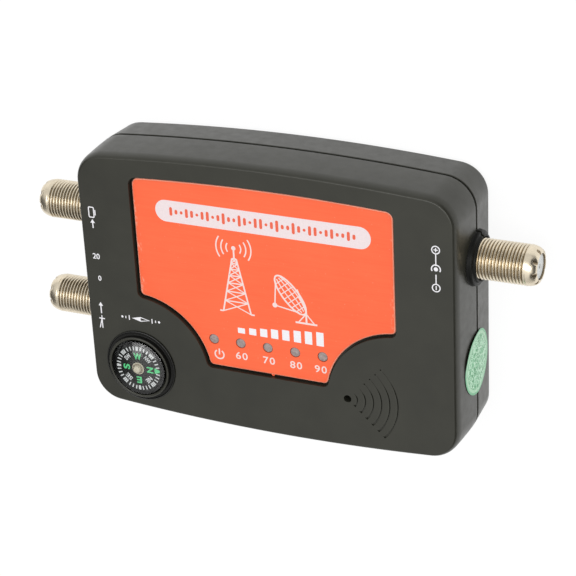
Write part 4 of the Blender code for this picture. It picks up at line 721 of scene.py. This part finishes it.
class Sheet:
    """Flat printed shapes on one level, gathered into one mesh."""

    def __init__(self, level, thick=PRINT):
        self.level, self.thick, self.parts, self.count = level, thick, [], 0

    def levels(self):
        """The foot and top of the next shape; tops differ a little, so that no two lie in one plane."""
        self.count += 1
        return self.level - 0.01, self.level + self.thick + 0.0002 * (self.count % 17)

    def area(self, points):
        self.parts.append(prism(points, *self.levels()))

    def line(self, points, width=0.3, closed=False):
        """A ribbon along points, mitred at its corners."""
        bottom, top = self.levels()
        count = len(points)
        rings = []
        for index in range(count):
            here = Vector(points[index])
            before = here - Vector(points[index - 1]) if index or closed else None
            after = Vector(points[(index + 1) % count]) - here if index < count - 1 or closed else None
            before = (before or after).normalized()
            after = (after or before).normalized()
            along = (before + after).normalized()
            side = Vector((-along.y, along.x))
            reach = width / 2 / max(0.45, side.dot(Vector((-before.y, before.x))))
            left, right = here + side * reach, here - side * reach
            rings.append([(*left, bottom), (*right, bottom), (*right, top), (*left, top)])
        self.parts.append(stack(rings, closed=closed))

    def lines(self, width, *runs):
        for points in runs:
            self.line(points, width)

    def disc(self, centre, radius, steps=40):
        self.area(arc(centre, radius, 0.0, tau * (steps - 1) / steps, steps - 1))

    def text(self, words, height, centre, turn=0.0, weight=0.03, width=None, gap=1.0):
        """Characters of a cap height, centred on a place, with their tops towards turn + 90 degrees."""
        curve = bpy.data.curves.new("text", "FONT")
        settings = {"body": words, "align_x": "CENTER", "align_y": "CENTER", "size": height / 0.73,
                    "offset": weight, "extrude": 0.5, "space_character": gap, "resolution_u": 5}
        for key, value in settings.items():
            setattr(curve, key, value)
        bm = baked(placed("text", curve))
        low = [min(v.co[axis] for v in bm.verts) for axis in range(3)]
        high = [max(v.co[axis] for v in bm.verts) for axis in range(3)]
        bottom, top = self.levels()
        middle = Matrix.Translation([-(a + b) / 2 for a, b in zip(low, high)])
        tall = height / (high[1] - low[1])
        size = Matrix.Diagonal((width / (high[0] - low[0]) if width else tall, tall, top - bottom, 1.0))
        place = Matrix.Translation((*centre, (bottom + top) / 2)) @ Matrix.Rotation(turn, 4, "Z")
        self.parts.append(moved(bm, place @ size @ middle))

    def show(self, name, finish, body="body", slot=None):
        show(name, joined(*self.parts), finish, body=body, angle=30.0)


def pill_points(half_width, low, high, steps=20):
    """A lying field with round ends."""
    radius, middle = (high - low) / 2, (high + low) / 2
    right = arc((half_width - radius, middle), radius, -pi / 2, pi / 2, steps)
    return right + [(-x, 2 * middle - y) for x, y in right]


def upright_points(half_width, half_height, steps=8):
    """A standing bar with round ends, or a dot where it is no taller than wide."""
    top = arc((0.0, max(half_height - half_width, 0.0)), half_width, 0.0, pi, steps)
    return top + [(-x, -y) for x, y in top]


def panel_prints():
    level, slot = PANEL_TOP, "orange_plate"
    pill_low, pill_high = 17.74, 23.24
    pill = Sheet(level)
    pill.area(pill_points(27.2, pill_low, pill_high))
    pill.show("title_field", PILL_INK, slot=slot)

    marks = Sheet(level + PRINT)
    pill_middle = (pill_low + pill_high) / 2
    for step in range(-17, 18):
        swell = (0.5 + 0.5 * cos((step + 17) * 1.9)) * (0.55 + 0.45 * cos(step / 17 * 1.3))
        points = upright_points(0.36, 0.32 + 1.15 * swell)
        marks.area([(x + step * 1.36, y + pill_middle) for x, y in points])
    marks.show("title_pattern", ORANGE_INK, slot=slot)

    bars = Sheet(level)
    low, width = -8.72, 1.85
    starts = (-7.56, -4.61, -1.74, 1.08, 3.97, 6.93, 9.78, 12.71)
    tops = (-7.34, -7.02, -6.63, -6.33, -6.02, -5.69, -5.42, -5.15)
    for x, top in zip(starts, tops):
        bars.area(softened([(x, low), (x + width, low), (x + width, top), (x, top)], 0.12, 3, True))
    bars.show("level_scale", WHITE_INK, slot=slot)

    numbers = Sheet(level)
    for number, x in (("60", -6.97), ("70", 0.16), ("80", 7.17), ("90", 13.5)):
        numbers.text(number, 1.88, (x, -14.85), width=3.08, gap=1.18)
    x, y = centre = (-12.89, -15.37)
    gap = radians(34)
    ring = arc(centre, 1.17, pi / 2 + gap, pi / 2 - gap + tau, 40)
    numbers.lines(0.36, ring, [(x, y - 0.05), (x, y + 1.5)])
    numbers.show("level_numbers", WARM_INK, slot=slot)
    mast_print(level, slot)


def mast_print(level, slot):
    """A lattice mast that sends to a mesh dish, in thin lines."""
    art = Sheet(level)
    axis, ground, top_y, foot, head = -7.4, -3.4, 10.6, 3.6, 0.55

    def leg(side, share):
        return (axis + side * (foot + (head - foot) * share), ground + (top_y - ground) * share)

    for side in (-1, 1):
        low = leg(side, 0.0)
        art.lines(0.4, [low, leg(side, 1.0)], [low, (low[0] + side * 0.9, ground)])
    shares = (0.0, 0.2, 0.38, 0.54, 0.68, 0.8, 0.91, 1.0)
    for lower, upper in zip(shares, shares[1:]):
        art.line([leg(-1, upper), leg(1, upper)], 0.3)
        art.lines(0.26, [leg(-1, lower), leg(1, upper)], [leg(1, lower), leg(-1, upper)])
    art.line([(axis, top_y), (axis, top_y + 2.6)], 0.42)
    sender = (axis, top_y + 2.7)
    art.disc(sender, 0.55)
    for radius in (1.9, 3.2, 4.5):
        art.lines(0.34, *(arc(sender, radius, middle - 0.62, middle + 0.62, 14) for middle in (0.0, pi)))

    turn, centre = Matrix.Rotation(radians(38), 2), Vector((6.6, 3.4))
    half_width, half_height, belly = 2.1, 5.6, 0.5

    def on_dish(x, y):
        return tuple(centre + turn @ Vector((x, y)))

    rim = arc((0.0, 0.0), 1.0, 0.0, tau * 47 / 48, 47)
    art.line([on_dish(half_width * x, half_height * y) for x, y in rim], 0.42, closed=True)
    for share in (-0.72, -0.48, -0.24, 0.0, 0.24, 0.48, 0.72):
        reach = half_width * sqrt(1 - share * share)
        across = [step / 6 - 1 for step in range(13)]
        art.line([on_dish(reach * t + belly * (1 - t * t), half_height * share) for t in across], 0.22)
    for share in (-0.55, 0.0, 0.55):
        out = half_width * share + belly * (1 - share * share)
        along = [step / 8 - 1 for step in range(1, 16)]
        art.line([on_dish(out * sqrt(1 - t * t), half_height * t) for t in along], 0.26)
    feed = on_dish(-5.2, 0.0)
    art.lines(0.32, *([on_dish(-1.0, y), feed] for y in (-4.6, 4.6)))
    art.disc(feed, 0.62)
    stand = 10.4
    art.lines(0.46, [on_dish(2.4, 0.3), (stand, -0.2), (stand, ground)], [(7.6, ground), (13.1, ground)])
    art.lines(0.3, *([(stand, -0.9), (stand + side * 2.1, ground)] for side in (-1, 1)))
    art.show("mast_and_dish", WARM_INK, slot=slot)


def case_prints():
    """Numbers at the switch and plain signs at the sockets and the compass."""
    marks = Sheet(FACE)
    marks.text("20", 1.45, (-43.9, 6.3))
    marks.text("0", 1.35, (-43.5, 0.5))

    def arrow(x, start, end, head=0.62, width=0.3):
        marks.line([(x, start), (x, end - 0.3)], width)
        marks.area([(x, end), (x - head, end - 0.95), (x + head, end - 0.95)])

    x = -44.0  # a receiver
    arrow(x, 13.7, 16.0)
    screen = [(x - 0.8, 16.5), (x + 0.55, 16.5), (x + 0.55, 19.1), (x - 0.8, 19.1)]
    marks.line(softened(screen, 0.3, 4, True), 0.28, closed=True)
    marks.line([(x + 0.9, 17.1), (x + 0.9, 18.5)], 0.26)

    x, foot, cross = -43.95, -13.0, -10.4  # an aerial
    marks.line([(x + 0.8, cross), (x - 0.75, cross)], 0.28)
    marks.lines(0.26, [(x - 0.75, foot), (x, cross), (x - 0.75, cross)], [(x, foot), (x, -9.6)])
    arrow(x, -9.0, -6.0)

    x, y = -33.2, -8.95  # a compass needle
    marks.area([(x, y + 0.62), (x - 2.4, y), (x, y - 0.62)])
    marks.line([(x, y + 0.5), (x + 2.3, y), (x, y - 0.5)], 0.24)
    for step in (-2, -1, 1, 2):
        tick = x + (3.1 + 0.95 * (abs(step) - 1)) * (1 if step > 0 else -1)
        marks.line([(tick, y - 0.62 / abs(step)), (tick, y + 0.62 / abs(step))], 0.26)
    for side in (-1, 1):
        marks.disc((x + side * 5.0, y), 0.3, 20)

    x, low, middle, high = 42.95, 11.3, 15.9, 20.6  # a supply's polarity
    for centre in (low, high):
        marks.line(arc((x, centre), 0.92, 0.0, tau * 31 / 32, 31), 0.26, closed=True)
        marks.line([(x, centre - 0.5), (x, centre + 0.5)], 0.24)
    marks.line([(x - 0.5, high), (x + 0.5, high)], 0.24)
    marks.lines(0.26, [(x, low + 1.05), (x, 14.6)], [(x, 16.7), (x, high - 1.05)])
    marks.line(arc((x, middle), 1.05, radians(-30), radians(210), 24), 0.28)
    marks.disc((x, middle), 0.5, 24)
    marks.show("case_marks", WHITE_INK, slot="black_plastic")


# ---- lamps


def lamps():
    """The five LEDs, each with two legs down to the board."""
    names = ["power_led"] + [f"level_led_{step}" for step in range(1, 5)]
    top, dome, lens, body, flange = PANEL_TOP + 0.1, 0.3, 1.2, 1.45, 1.75
    shoulder, rim, foot = -1.3, -4.7, -5.2  # below the top
    profile = [(lens * sin(pi / 2 * step / 8), dome * cos(pi / 2 * step / 8) - dome) for step in range(9)]
    profile += [(lens, shoulder), (body, shoulder), (body, rim), (flange, rim), (flange, foot), (0.0, foot)]
    for name, place in zip(names, LAMPS):
        legs = joined(*(box((x - 0.25, -0.25, BOARD_LEVEL - top), (x + 0.25, 0.25, foot + 0.3))
                        for x in (-0.635, 0.635)))
        shape = shifted(carved(turned(profile, 48), ("UNION", legs)), *place, top)
        show("lens_" + name, shape, [LAMP, TIN], replaces=[name],
             choose=lambda centre, _: 1 if centre.z < top + foot - 0.05 else 0)


# ---- compass


# profiles of (radius, height) above the face
CUP = [(0.0, -1.9), (6.75, -1.9), (6.75, -0.6), (7.38, -0.6), (7.38, 1.1), (7.45, 1.33), (7.62, 1.46),
       (7.83, 1.5), (8.03, 1.44), (8.16, 1.28), (8.2, 1.0), (8.2, 0.34), (8.3, 0.18), (8.9, 0.16),
       (8.97, 0.34), (9.08, 0.42), (9.22, 0.4), (9.32, 0.28), (9.34, 0.12), (8.05, 0.12), (8.05, -2.5),
       (0.0, -2.5)]
JEWEL = [(0.0, 2.62), (0.55, 2.6), (0.8, 2.52), (0.92, 2.34), (0.94, 1.76), (1.32, 1.76), (1.38, 1.88),
         (1.5, 1.88), (1.57, 1.78), (1.57, 1.66), (0.9, 1.66), (0.9, 0.45), (0.55, 0.45), (0.55, 1.45),
         (0.0, 1.45)]
LENS_OUTSIDE, LENS_INSIDE, LENS_ROUND, LENS_SIDE, LENS_FOOT = 7.15, 6.6, 0.25, 1.63, -0.3
CARD_TOP, CARD_FOOT, CARD_INSIDE, CARD_OUTSIDE = 1.6, 1.2, 1.2, 6.1
TICK_LOW, TICK_HIGH = 4.85, 5.88


def cap(radius, side, rise, steps=14):
    """A dome's profile from its top to its edge."""
    ball = (radius ** 2 + rise ** 2) / (2 * rise)
    edge = asin(radius / ball)
    return [(ball * sin(edge * step / steps), side + rise - ball + ball * cos(edge * step / steps))
            for step in range(steps + 1)]


def compass():
    """The cup, the clear cap and the turning card with its scale, letters and bearing."""
    x, y = COMPASS
    middle = Vector(COMPASS)

    def from_axis(place):
        return (place.xy - middle).length

    def in_place(profile, steps=128):
        return shifted(turned(profile, steps), x, y, FACE)

    # the rim's top takes the lighter, rougher case black, whose lighter colour is a painted highlight line;
    # the outer wall and flange take the duller card black
    def satin_and_highlight(centre, normal):
        radius = from_axis(centre)
        if 8.15 < radius < 8.93 and centre.z > FACE + 0.1:
            return 2
        return 1 if normal.z > 0.55 and 7.4 < radius < 8.2 and centre.z > FACE + 0.15 else 0

    show("compass_cup", in_place(softened(CUP, 0.06, 2)), [GLOSS, BLACK, CARD],
         replaces=["compass_housing"], choose=satin_and_highlight)

    lens = cap(LENS_OUTSIDE - LENS_ROUND, LENS_SIDE, 1.57)
    lens += [(LENS_OUTSIDE - LENS_ROUND * (1 - sin(a)), LENS_SIDE - LENS_ROUND * (1 - cos(a)))
             for a in (0.4, 0.9, pi / 2)]
    lens += [(LENS_OUTSIDE, LENS_FOOT), (LENS_INSIDE, LENS_FOOT)] + cap(LENS_INSIDE, 1.5, 1.38)[::-1]

    def within(centre, normal):
        return 1 if normal.z < -0.02 or (abs(normal.z) < 0.02 and from_axis(centre) < 6.8) else 0

    show("compass_cover", in_place(lens), [CLEAR, CLEAR_INSIDE],
         replaces=["compass_lens"], choose=within)

    card = [(CARD_INSIDE, CARD_TOP), (CARD_OUTSIDE, CARD_TOP), (CARD_OUTSIDE, CARD_FOOT),
            (CARD_INSIDE, CARD_FOOT)]
    show("card_disc", in_place(softened(card, 0.06, 2, True)), CARD, body="compass_card",
         replaces=["compass_dial"])

    ticks = Sheet(FACE + CARD_TOP, CARD_PRINT)

    def tick(angle, half, low=TICK_LOW, high=TICK_HIGH):
        points = [(low, -half * low / high), (high, -half), (high, half), (low, half * low / high)]
        turn = Matrix.Rotation(angle, 2)
        ticks.area([tuple(middle + turn @ Vector(point)) for point in points])

    for step in range(36):
        angle = step * tau / 36
        if step % 9 == 0 and step:
            tick(angle, 0.36, TICK_LOW - 0.1)
        elif step % 9 == 4:
            for part in (-0.085, 0.0, 0.085):
                tick(angle + tau / 72 + part, 0.2)
        elif step % 9 not in (0, 5):
            tick(angle, 0.17)

    def words(sheet, start, radius, height, weight, *rows):
        """Letters a quarter of a turn apart, each with its width."""
        for step, (text, width) in enumerate(rows):
            angle = radians(start + 90 * step)
            sheet.text(text, height, polar(radius, angle, COMPASS), angle - pi / 2, weight, width)

    words(ticks, 45, 3.85, 1.2, 0.05, ("NW", 1.9), ("SW", 1.9), ("SE", 1.9), ("NE", 1.9))
    ticks.show("card_scale", CARD_WHITE, body="compass_card")

    green = Sheet(FACE + CARD_TOP, CARD_PRINT)
    words(green, 0, 3.2, 1.8, 0.08, ("N", 1.55), ("W", 2.1), ("S", 1.45), ("E", 1.4))
    green.area([(x + 5.85, y + 0.3), (x + 5.85, y - 0.3), (x + 4.45, y - 0.75), (x + 4.45, y + 0.75)])
    green.show("card_points", GREEN_INK, body="compass_card")

    def pale(centre, _):
        return 1 if centre.z > FACE + 1.68 and not 0.96 <= from_axis(centre) <= 1.36 else 0

    show("card_bearing", in_place(JEWEL, 64), [COPPER_BROWN, CREAM], body="compass_card",
         replaces=["compass_jewel"], choose=pale)


# ---- sockets


THREAD_PHASES = (0.0, 0.14, 0.26, 0.36, 0.5, 0.64, 0.74, 0.86)  # rows of points along one pitch
THREAD_START, THREAD_PITCH, THREAD_TURNS, CREST, THREAD_DEPTH = 0.3, 0.794, 16, 4.76, 0.34
THREAD_END = THREAD_START + THREAD_PITCH * THREAD_TURNS
LIP, MOUTH, MOUTH_DEPTH, BORE, TAIL = 3.4, 3.06, 0.5, 3.6, -4.5
NOTCHES, NOTCH_LENGTH, NOTCH_DEPTH, NOTCH_HALF, NOTCH_TURN = 8, 1.2, 0.4, 0.11, radians(36.5)


def thread(steps):
    """The threaded length as rows of faces that follow the helix."""
    rows = len(THREAD_PHASES)
    bm = bmesh.new()
    columns = []
    for step in range(steps):
        column = []
        for index in range((THREAD_TURNS + 1) * rows + 1):
            phase = THREAD_PHASES[index % rows]
            level = THREAD_START + THREAD_PITCH * (index // rows + phase - step / steps)
            level = min(THREAD_END, max(THREAD_START, level))
            fade = min(1.0, (level - THREAD_START) / THREAD_PITCH, (THREAD_END - level) / THREAD_PITCH)
            groove = (0.5 - 0.5 * cos(tau * phase)) ** 1.6
            radius = CREST - THREAD_DEPTH * groove * fade
            column.append(bm.verts.new((*polar(radius, tau * step / steps), level)))
        columns.append(column)
    for step, here in enumerate(columns):
        there = columns[(step + 1) % steps]
        shift = rows if step == steps - 1 else 0
        for index in range(len(here) - 1):
            upper, lower = max(0, index + 1 - shift), max(0, index - shift)
            corners = [here[index], here[index + 1], there[upper]]
            bm.faces.new(corners if upper == lower else corners + [there[lower]])
    return bm


def nose_radius(level):
    share = (level - THREAD_END) / (REACH - THREAD_END)
    return LIP + (CREST - 0.04 - LIP) * sqrt(max(0.0, 1 - min(1.0, share) ** 1.65))


def nose_ring(level, notch_turn, steps):
    """A ring of the staked nose, with notches that deepen towards its end."""
    along = (level - (REACH - NOTCH_LENGTH)) / NOTCH_LENGTH

    def radius(share):
        if along <= 0:
            return nose_radius(level)
        offset = (((share - notch_turn) * NOTCHES + 0.5) % 1.0 - 0.5) / NOTCHES * tau
        return nose_radius(level) - NOTCH_DEPTH * min(1.0, along * 1.5) * exp(-(offset / NOTCH_HALF) ** 4)
    return circle(level, radius, steps)


def barrel(notch_turn, steps=120):
    """A threaded barrel with a staked nose, its flange and the legs that hold the board."""
    foot = ((TAIL, BORE), (TAIL, 5.7), (-3.3, 5.7), (-3.3, CREST), (THREAD_START, CREST))
    mouth = ((REACH, MOUTH), (REACH - MOUTH_DEPTH, MOUTH), (REACH - MOUTH_DEPTH, BORE), (TAIL, BORE))
    levels = [THREAD_END + (REACH - THREAD_END) * sin(pi / 2 * step / 18) for step in range(1, 19)]
    nose = [circle(THREAD_END, CREST, steps)] + [nose_ring(level, notch_turn, steps) for level in levels]
    foot, mouth = ([circle(*place, steps) for place in places] for places in (foot, mouth))
    whole = joined(stack(foot, cap=False), thread(steps), stack(nose + mouth, cap=False))
    bmesh.ops.remove_doubles(whole, verts=whole.verts, dist=0.0005)
    bmesh.ops.recalc_face_normals(whole, faces=whole.faces)
    legs = [box((top - 1.4, side * 3.9 - 0.6, -9.0), (top, side * 3.9 + 0.6, -3.9))
            for side in (-1, 1) for top in (0.45, 4.05)]
    return joined(whole, *legs)


def sockets():
    """The barrels and insulators; a barrel is drawn out or in by its own shift to meet the photo."""
    for name, side, y in SOCKETS:
        def choose(place, _):
            """1 in the grooves, the notches and the mouth, which take the painted shade."""
            radius = hypot(place.y - y, place.z - PARTING)
            level = (side * place.x - HALF_WIDTH) * REACH / (REACH + NOSE_SHIFT[name])
            if level < THREAD_END:
                return 1 if radius < CREST - 0.2 else 0
            return 1 if radius < nose_radius(min(level, REACH)) - 0.14 and level < REACH - 0.02 else 0

        shell = barrel((0.5 - NOTCH_TURN / tau * side) % 1.0)
        for vertex in shell.verts:
            vertex.co.z += NOSE_SHIFT[name] * max(0.0, vertex.co.z / REACH)
        show(name + "_shell", along_socket(shell, side, y), [NICKEL, GROOVE_SHADE],
             replaces=[name + "_barrel"], angle=50.0, choose=choose)
        front = REACH - MOUTH_DEPTH - 0.02 + NOSE_SHIFT[name]
        profile = [(0.55, front + 0.14), (1.2, front + 0.1), (2.88, front + 0.1), (2.98, front),
                   (3.38, front - 0.1), (3.38, TAIL), (0.55, TAIL)]
        show(name + "_core", along_socket(turned(profile, 64), side, y), WHITE,
             replaces=[name + "_insulator"])


# ---- small pieces


def sticker():
    """A round seal folded over the parting line, its upper front edge standing a little off the wall."""
    centre_y, radius, lifted = -12.5, 7.9, 0.24

    def stood(y, z):
        level = PARTING + z
        inset = front_inset(level) if level > PARTING else rear_inset(level)
        lift = min(1.0, max(0.0, (0.6 * z + 0.8 * y) / radius - 0.6) / 0.36)
        return HALF_WIDTH + STAND - inset + 0.03 + lifted * lift * lift * (3 - 2 * lift)

    bm = bmesh.new()
    bmesh.ops.create_circle(bm, cap_ends=True, radius=radius, segments=128)
    for direction in ((0.0, 1.0, 0.0), (1.0, 0.0, 0.0), (0.5, 0.86, 0.0)):
        for step in range(-6, 7):
            bmesh.ops.bisect_plane(bm, geom=bm.verts[:] + bm.edges[:] + bm.faces[:],
                                   plane_co=Vector(direction) * step * 1.2, plane_no=direction)
    for vertex in bm.verts:
        y, z = vertex.co.x, vertex.co.y
        vertex.co = (stood(y, z), centre_y + y, PARTING + z)
    made = holder(bm, "seal")
    thick = made.modifiers.new("sheet", "SOLIDIFY")
    thick.thickness = 0.12
    thick.offset = 1.0
    # the top takes the seal's print; the sides and underside take the near-black painted shadow
    show("round_seal", baked(made), [SEAL, SEAL_PAINTED_SHADOW], replaces=["round_sticker"],
         angle=30.0, choose=lambda place, normal: 0 if normal.x > 0.6 else 1)


def knob():
    """The slide knob with ridges across its travel."""
    x, y, z = -HALF_WIDTH, SWITCH_Y - 1.2, KNOB_Z
    body = rounded_box((x - 0.7, y - 1.0, z - 0.9), (x + 4.4, y + 1.0, z + 0.9), 0.12, 3)
    ridges = [rounded_box((x - 0.9, at - 0.16, z - 0.85), (x - 0.4, at + 0.16, z + 0.85), 0.06, 2)
              for at in (y - 0.78, y - 0.26, y + 0.26, y + 0.78)]
    show("slide_knob", carved(body, ("UNION", joined(*ridges))), RESIN, body="switch_knob",
         replaces=["attenuator_knob"])


def case_screws():
    """Cross-slotted screws in the rear cover's posts."""
    radius, length, head, height, seat = 1.2, 12.9, 2.4, 1.6, 4.7
    edge, reach, depth = height / 4, head * 0.6, height * 0.55
    profile = [(0.0, length), (radius * 0.6, length), (radius, length - radius), (radius, 0.0), (head, 0.0),
               (head, edge - height), (head - edge, -height), (0.0, -height)]
    for index, place in enumerate(CASE_POSTS, 1):
        slots = [("DIFFERENCE", box((-a, -b, -height - 1), (a, b, depth - height)))
                 for a, b in ((reach, 0.3), (0.3, reach))]
        shape = shifted(carved(turned(softened(profile, 0.12, 2), 48), *slots), *place, seat)
        show(f"case_screw_head_{index}", shape, STEEL, replaces=[f"case_screw_{index}"])


def dress_inner_nodes():
    """Finishes for the frame's own nodes that stay."""
    finishes = {"circuit_board": BOARD, "filter_coil": FERRITE, "compass_pivot": BRASS}
    finishes.update(dict.fromkeys(("attenuator_switch", "tuner_shield"), TIN))
    finishes.update(dict.fromkeys(("sounder", "detector_chip", "supply_capacitor", "filter_capacitor",
                                   "supply_regulator"), RESIN))
    for name, made in frame["nodes"].items():
        if made.hide_render:
            continue
        finish = finishes.get(name) or (BRASS if name.endswith("contact") else STEEL)
        for index in range(len(made.material_slots)):
            made.material_slots[index].material = finish


# ---- stage, light and camera


def stage():
    """A pale floor that shows white to the camera and in reflections, and keeps the object's shadow."""
    bm = bmesh.new()
    bmesh.ops.create_grid(bm, x_segments=1, y_segments=1, size=4.0)
    floor = holder(bm, "floor")
    floor.location.z = -0.0003
    made = Finish("floor_pale", (0.86,) * 3, 0.9)
    made.colour(made.blend(made.ranged(made.noise(30.0), 0.0, 1.0), (0.855,) * 3, (0.87,) * 3))
    glow = made.node("ShaderNodeEmission", {"Color": (*EVEN, 1.0), "Strength": FLOOR_GLOW})
    rays = made.node("ShaderNodeLightPath").outputs
    seen = made.maths("MAXIMUM", rays["Is Glossy Ray"], rays["Is Transmission Ray"])
    seen = made.maths("MAXIMUM", rays["Is Camera Ray"], seen)
    made.mixed(made.maths("MULTIPLY", seen, FLOOR_SEEN), made.shader, glow)
    floor.data.materials.append(made.material)


def world():
    """White where it is seen, a graded tent in reflections and an even fill for all other light."""
    made = bpy.data.worlds.new("studio")
    bpy.context.scene.world = made
    made.use_nodes = True
    made.node_tree.nodes.clear()
    sky = Nodes(made.node_tree)
    way = sky.node("ShaderNodeTexCoord").outputs["Generated"]
    rays = sky.node("ShaderNodeLightPath").outputs

    def lobe(direction, inner, outer, low, high):
        """low far from a direction and high near it; the limits are angles in degrees."""
        values = {0: way, 1: tuple(Vector(direction).normalized())}
        dot = sky.node("ShaderNodeVectorMath", values, operation="DOT_PRODUCT")
        return sky.ranged(dot.outputs["Value"], low, high, cos(radians(outer)), cos(radians(inner)),
                          interpolation_type="SMOOTHSTEP")

    sides = sky.maths("ADD", lobe((-0.2, -0.97, 0.15), 18, 45, 0.0, 0.55),
                      lobe((-0.35, 0.8, 0.45), 30, 62, 0.0, 0.72))
    tent = sky.maths("ADD", lobe((0.0, -0.3, 0.954), 15, 45, SHEEN_BASE, SHEEN_TOP), sides)
    seen = sky.maths("MAXIMUM", rays["Is Camera Ray"], rays["Is Transmission Ray"])
    shiny = sky.maths("MULTIPLY", rays["Is Glossy Ray"], tent)
    other = sky.maths("SUBTRACT", 1.0, sky.maths("MAXIMUM", seen, rays["Is Glossy Ray"]))
    strength = sky.maths("ADD", sky.maths("ADD", seen, shiny), sky.maths("MULTIPLY", other, WORLD_DIFFUSE))
    light = sky.node("ShaderNodeBackground", {"Color": (*EVEN, 1.0), "Strength": strength})
    sky.node("ShaderNodeOutputWorld", {"Surface": light.outputs[0]})


def lamp(name, direction, size, radiance, along):
    """A rectangular softbox that faces the object; its first side lies towards along."""
    data = bpy.data.lights.new(name, "AREA")
    data.shape = "RECTANGLE"
    data.size, data.size_y = size
    data.energy = radiance * size[0] * size[1] * pi
    made = placed(name, data)
    way = Vector(direction).normalized()
    made.location = way * LAMP_DISTANCE + LAMP_AIM
    made.rotation_mode = "QUATERNION"
    across = (Vector(along) - way * way.dot(Vector(along))).normalized()
    made.rotation_quaternion = Matrix((across, way.cross(across), way)).transposed().to_quaternion()
    made.visible_camera = False


def camera():
    data = bpy.data.cameras.new("camera")
    data.sensor_width = SENSOR
    data.lens = FOCAL_PIXELS / PICTURE_PIXELS * SENSOR
    data.clip_start, data.clip_end = 0.01, 20.0
    made = placed("camera", data)
    made.matrix_world = Matrix.Translation(CAMERA_PLACE * MM) @ Matrix(CAMERA_AXES).transposed().to_4x4()
    bpy.context.scene.camera = made


for build in (front_case, rear_case, panel_plate, panel_prints, case_prints, lamps, compass, sockets,
              sticker, knob, case_screws, dress_inner_nodes, stage, world):
    build()
lamp("softbox", (0.12, 0.21, 0.97), (0.78, 0.4), 2.5, (0.9, -0.43, 0.0))
lamp("side_light", (-0.42, 0.12, 0.9), (0.26, 0.26), 2.0, (1.0, 0.0, 0.0))
camera()
bpy.context.scene.view_settings.view_transform = "Standard"
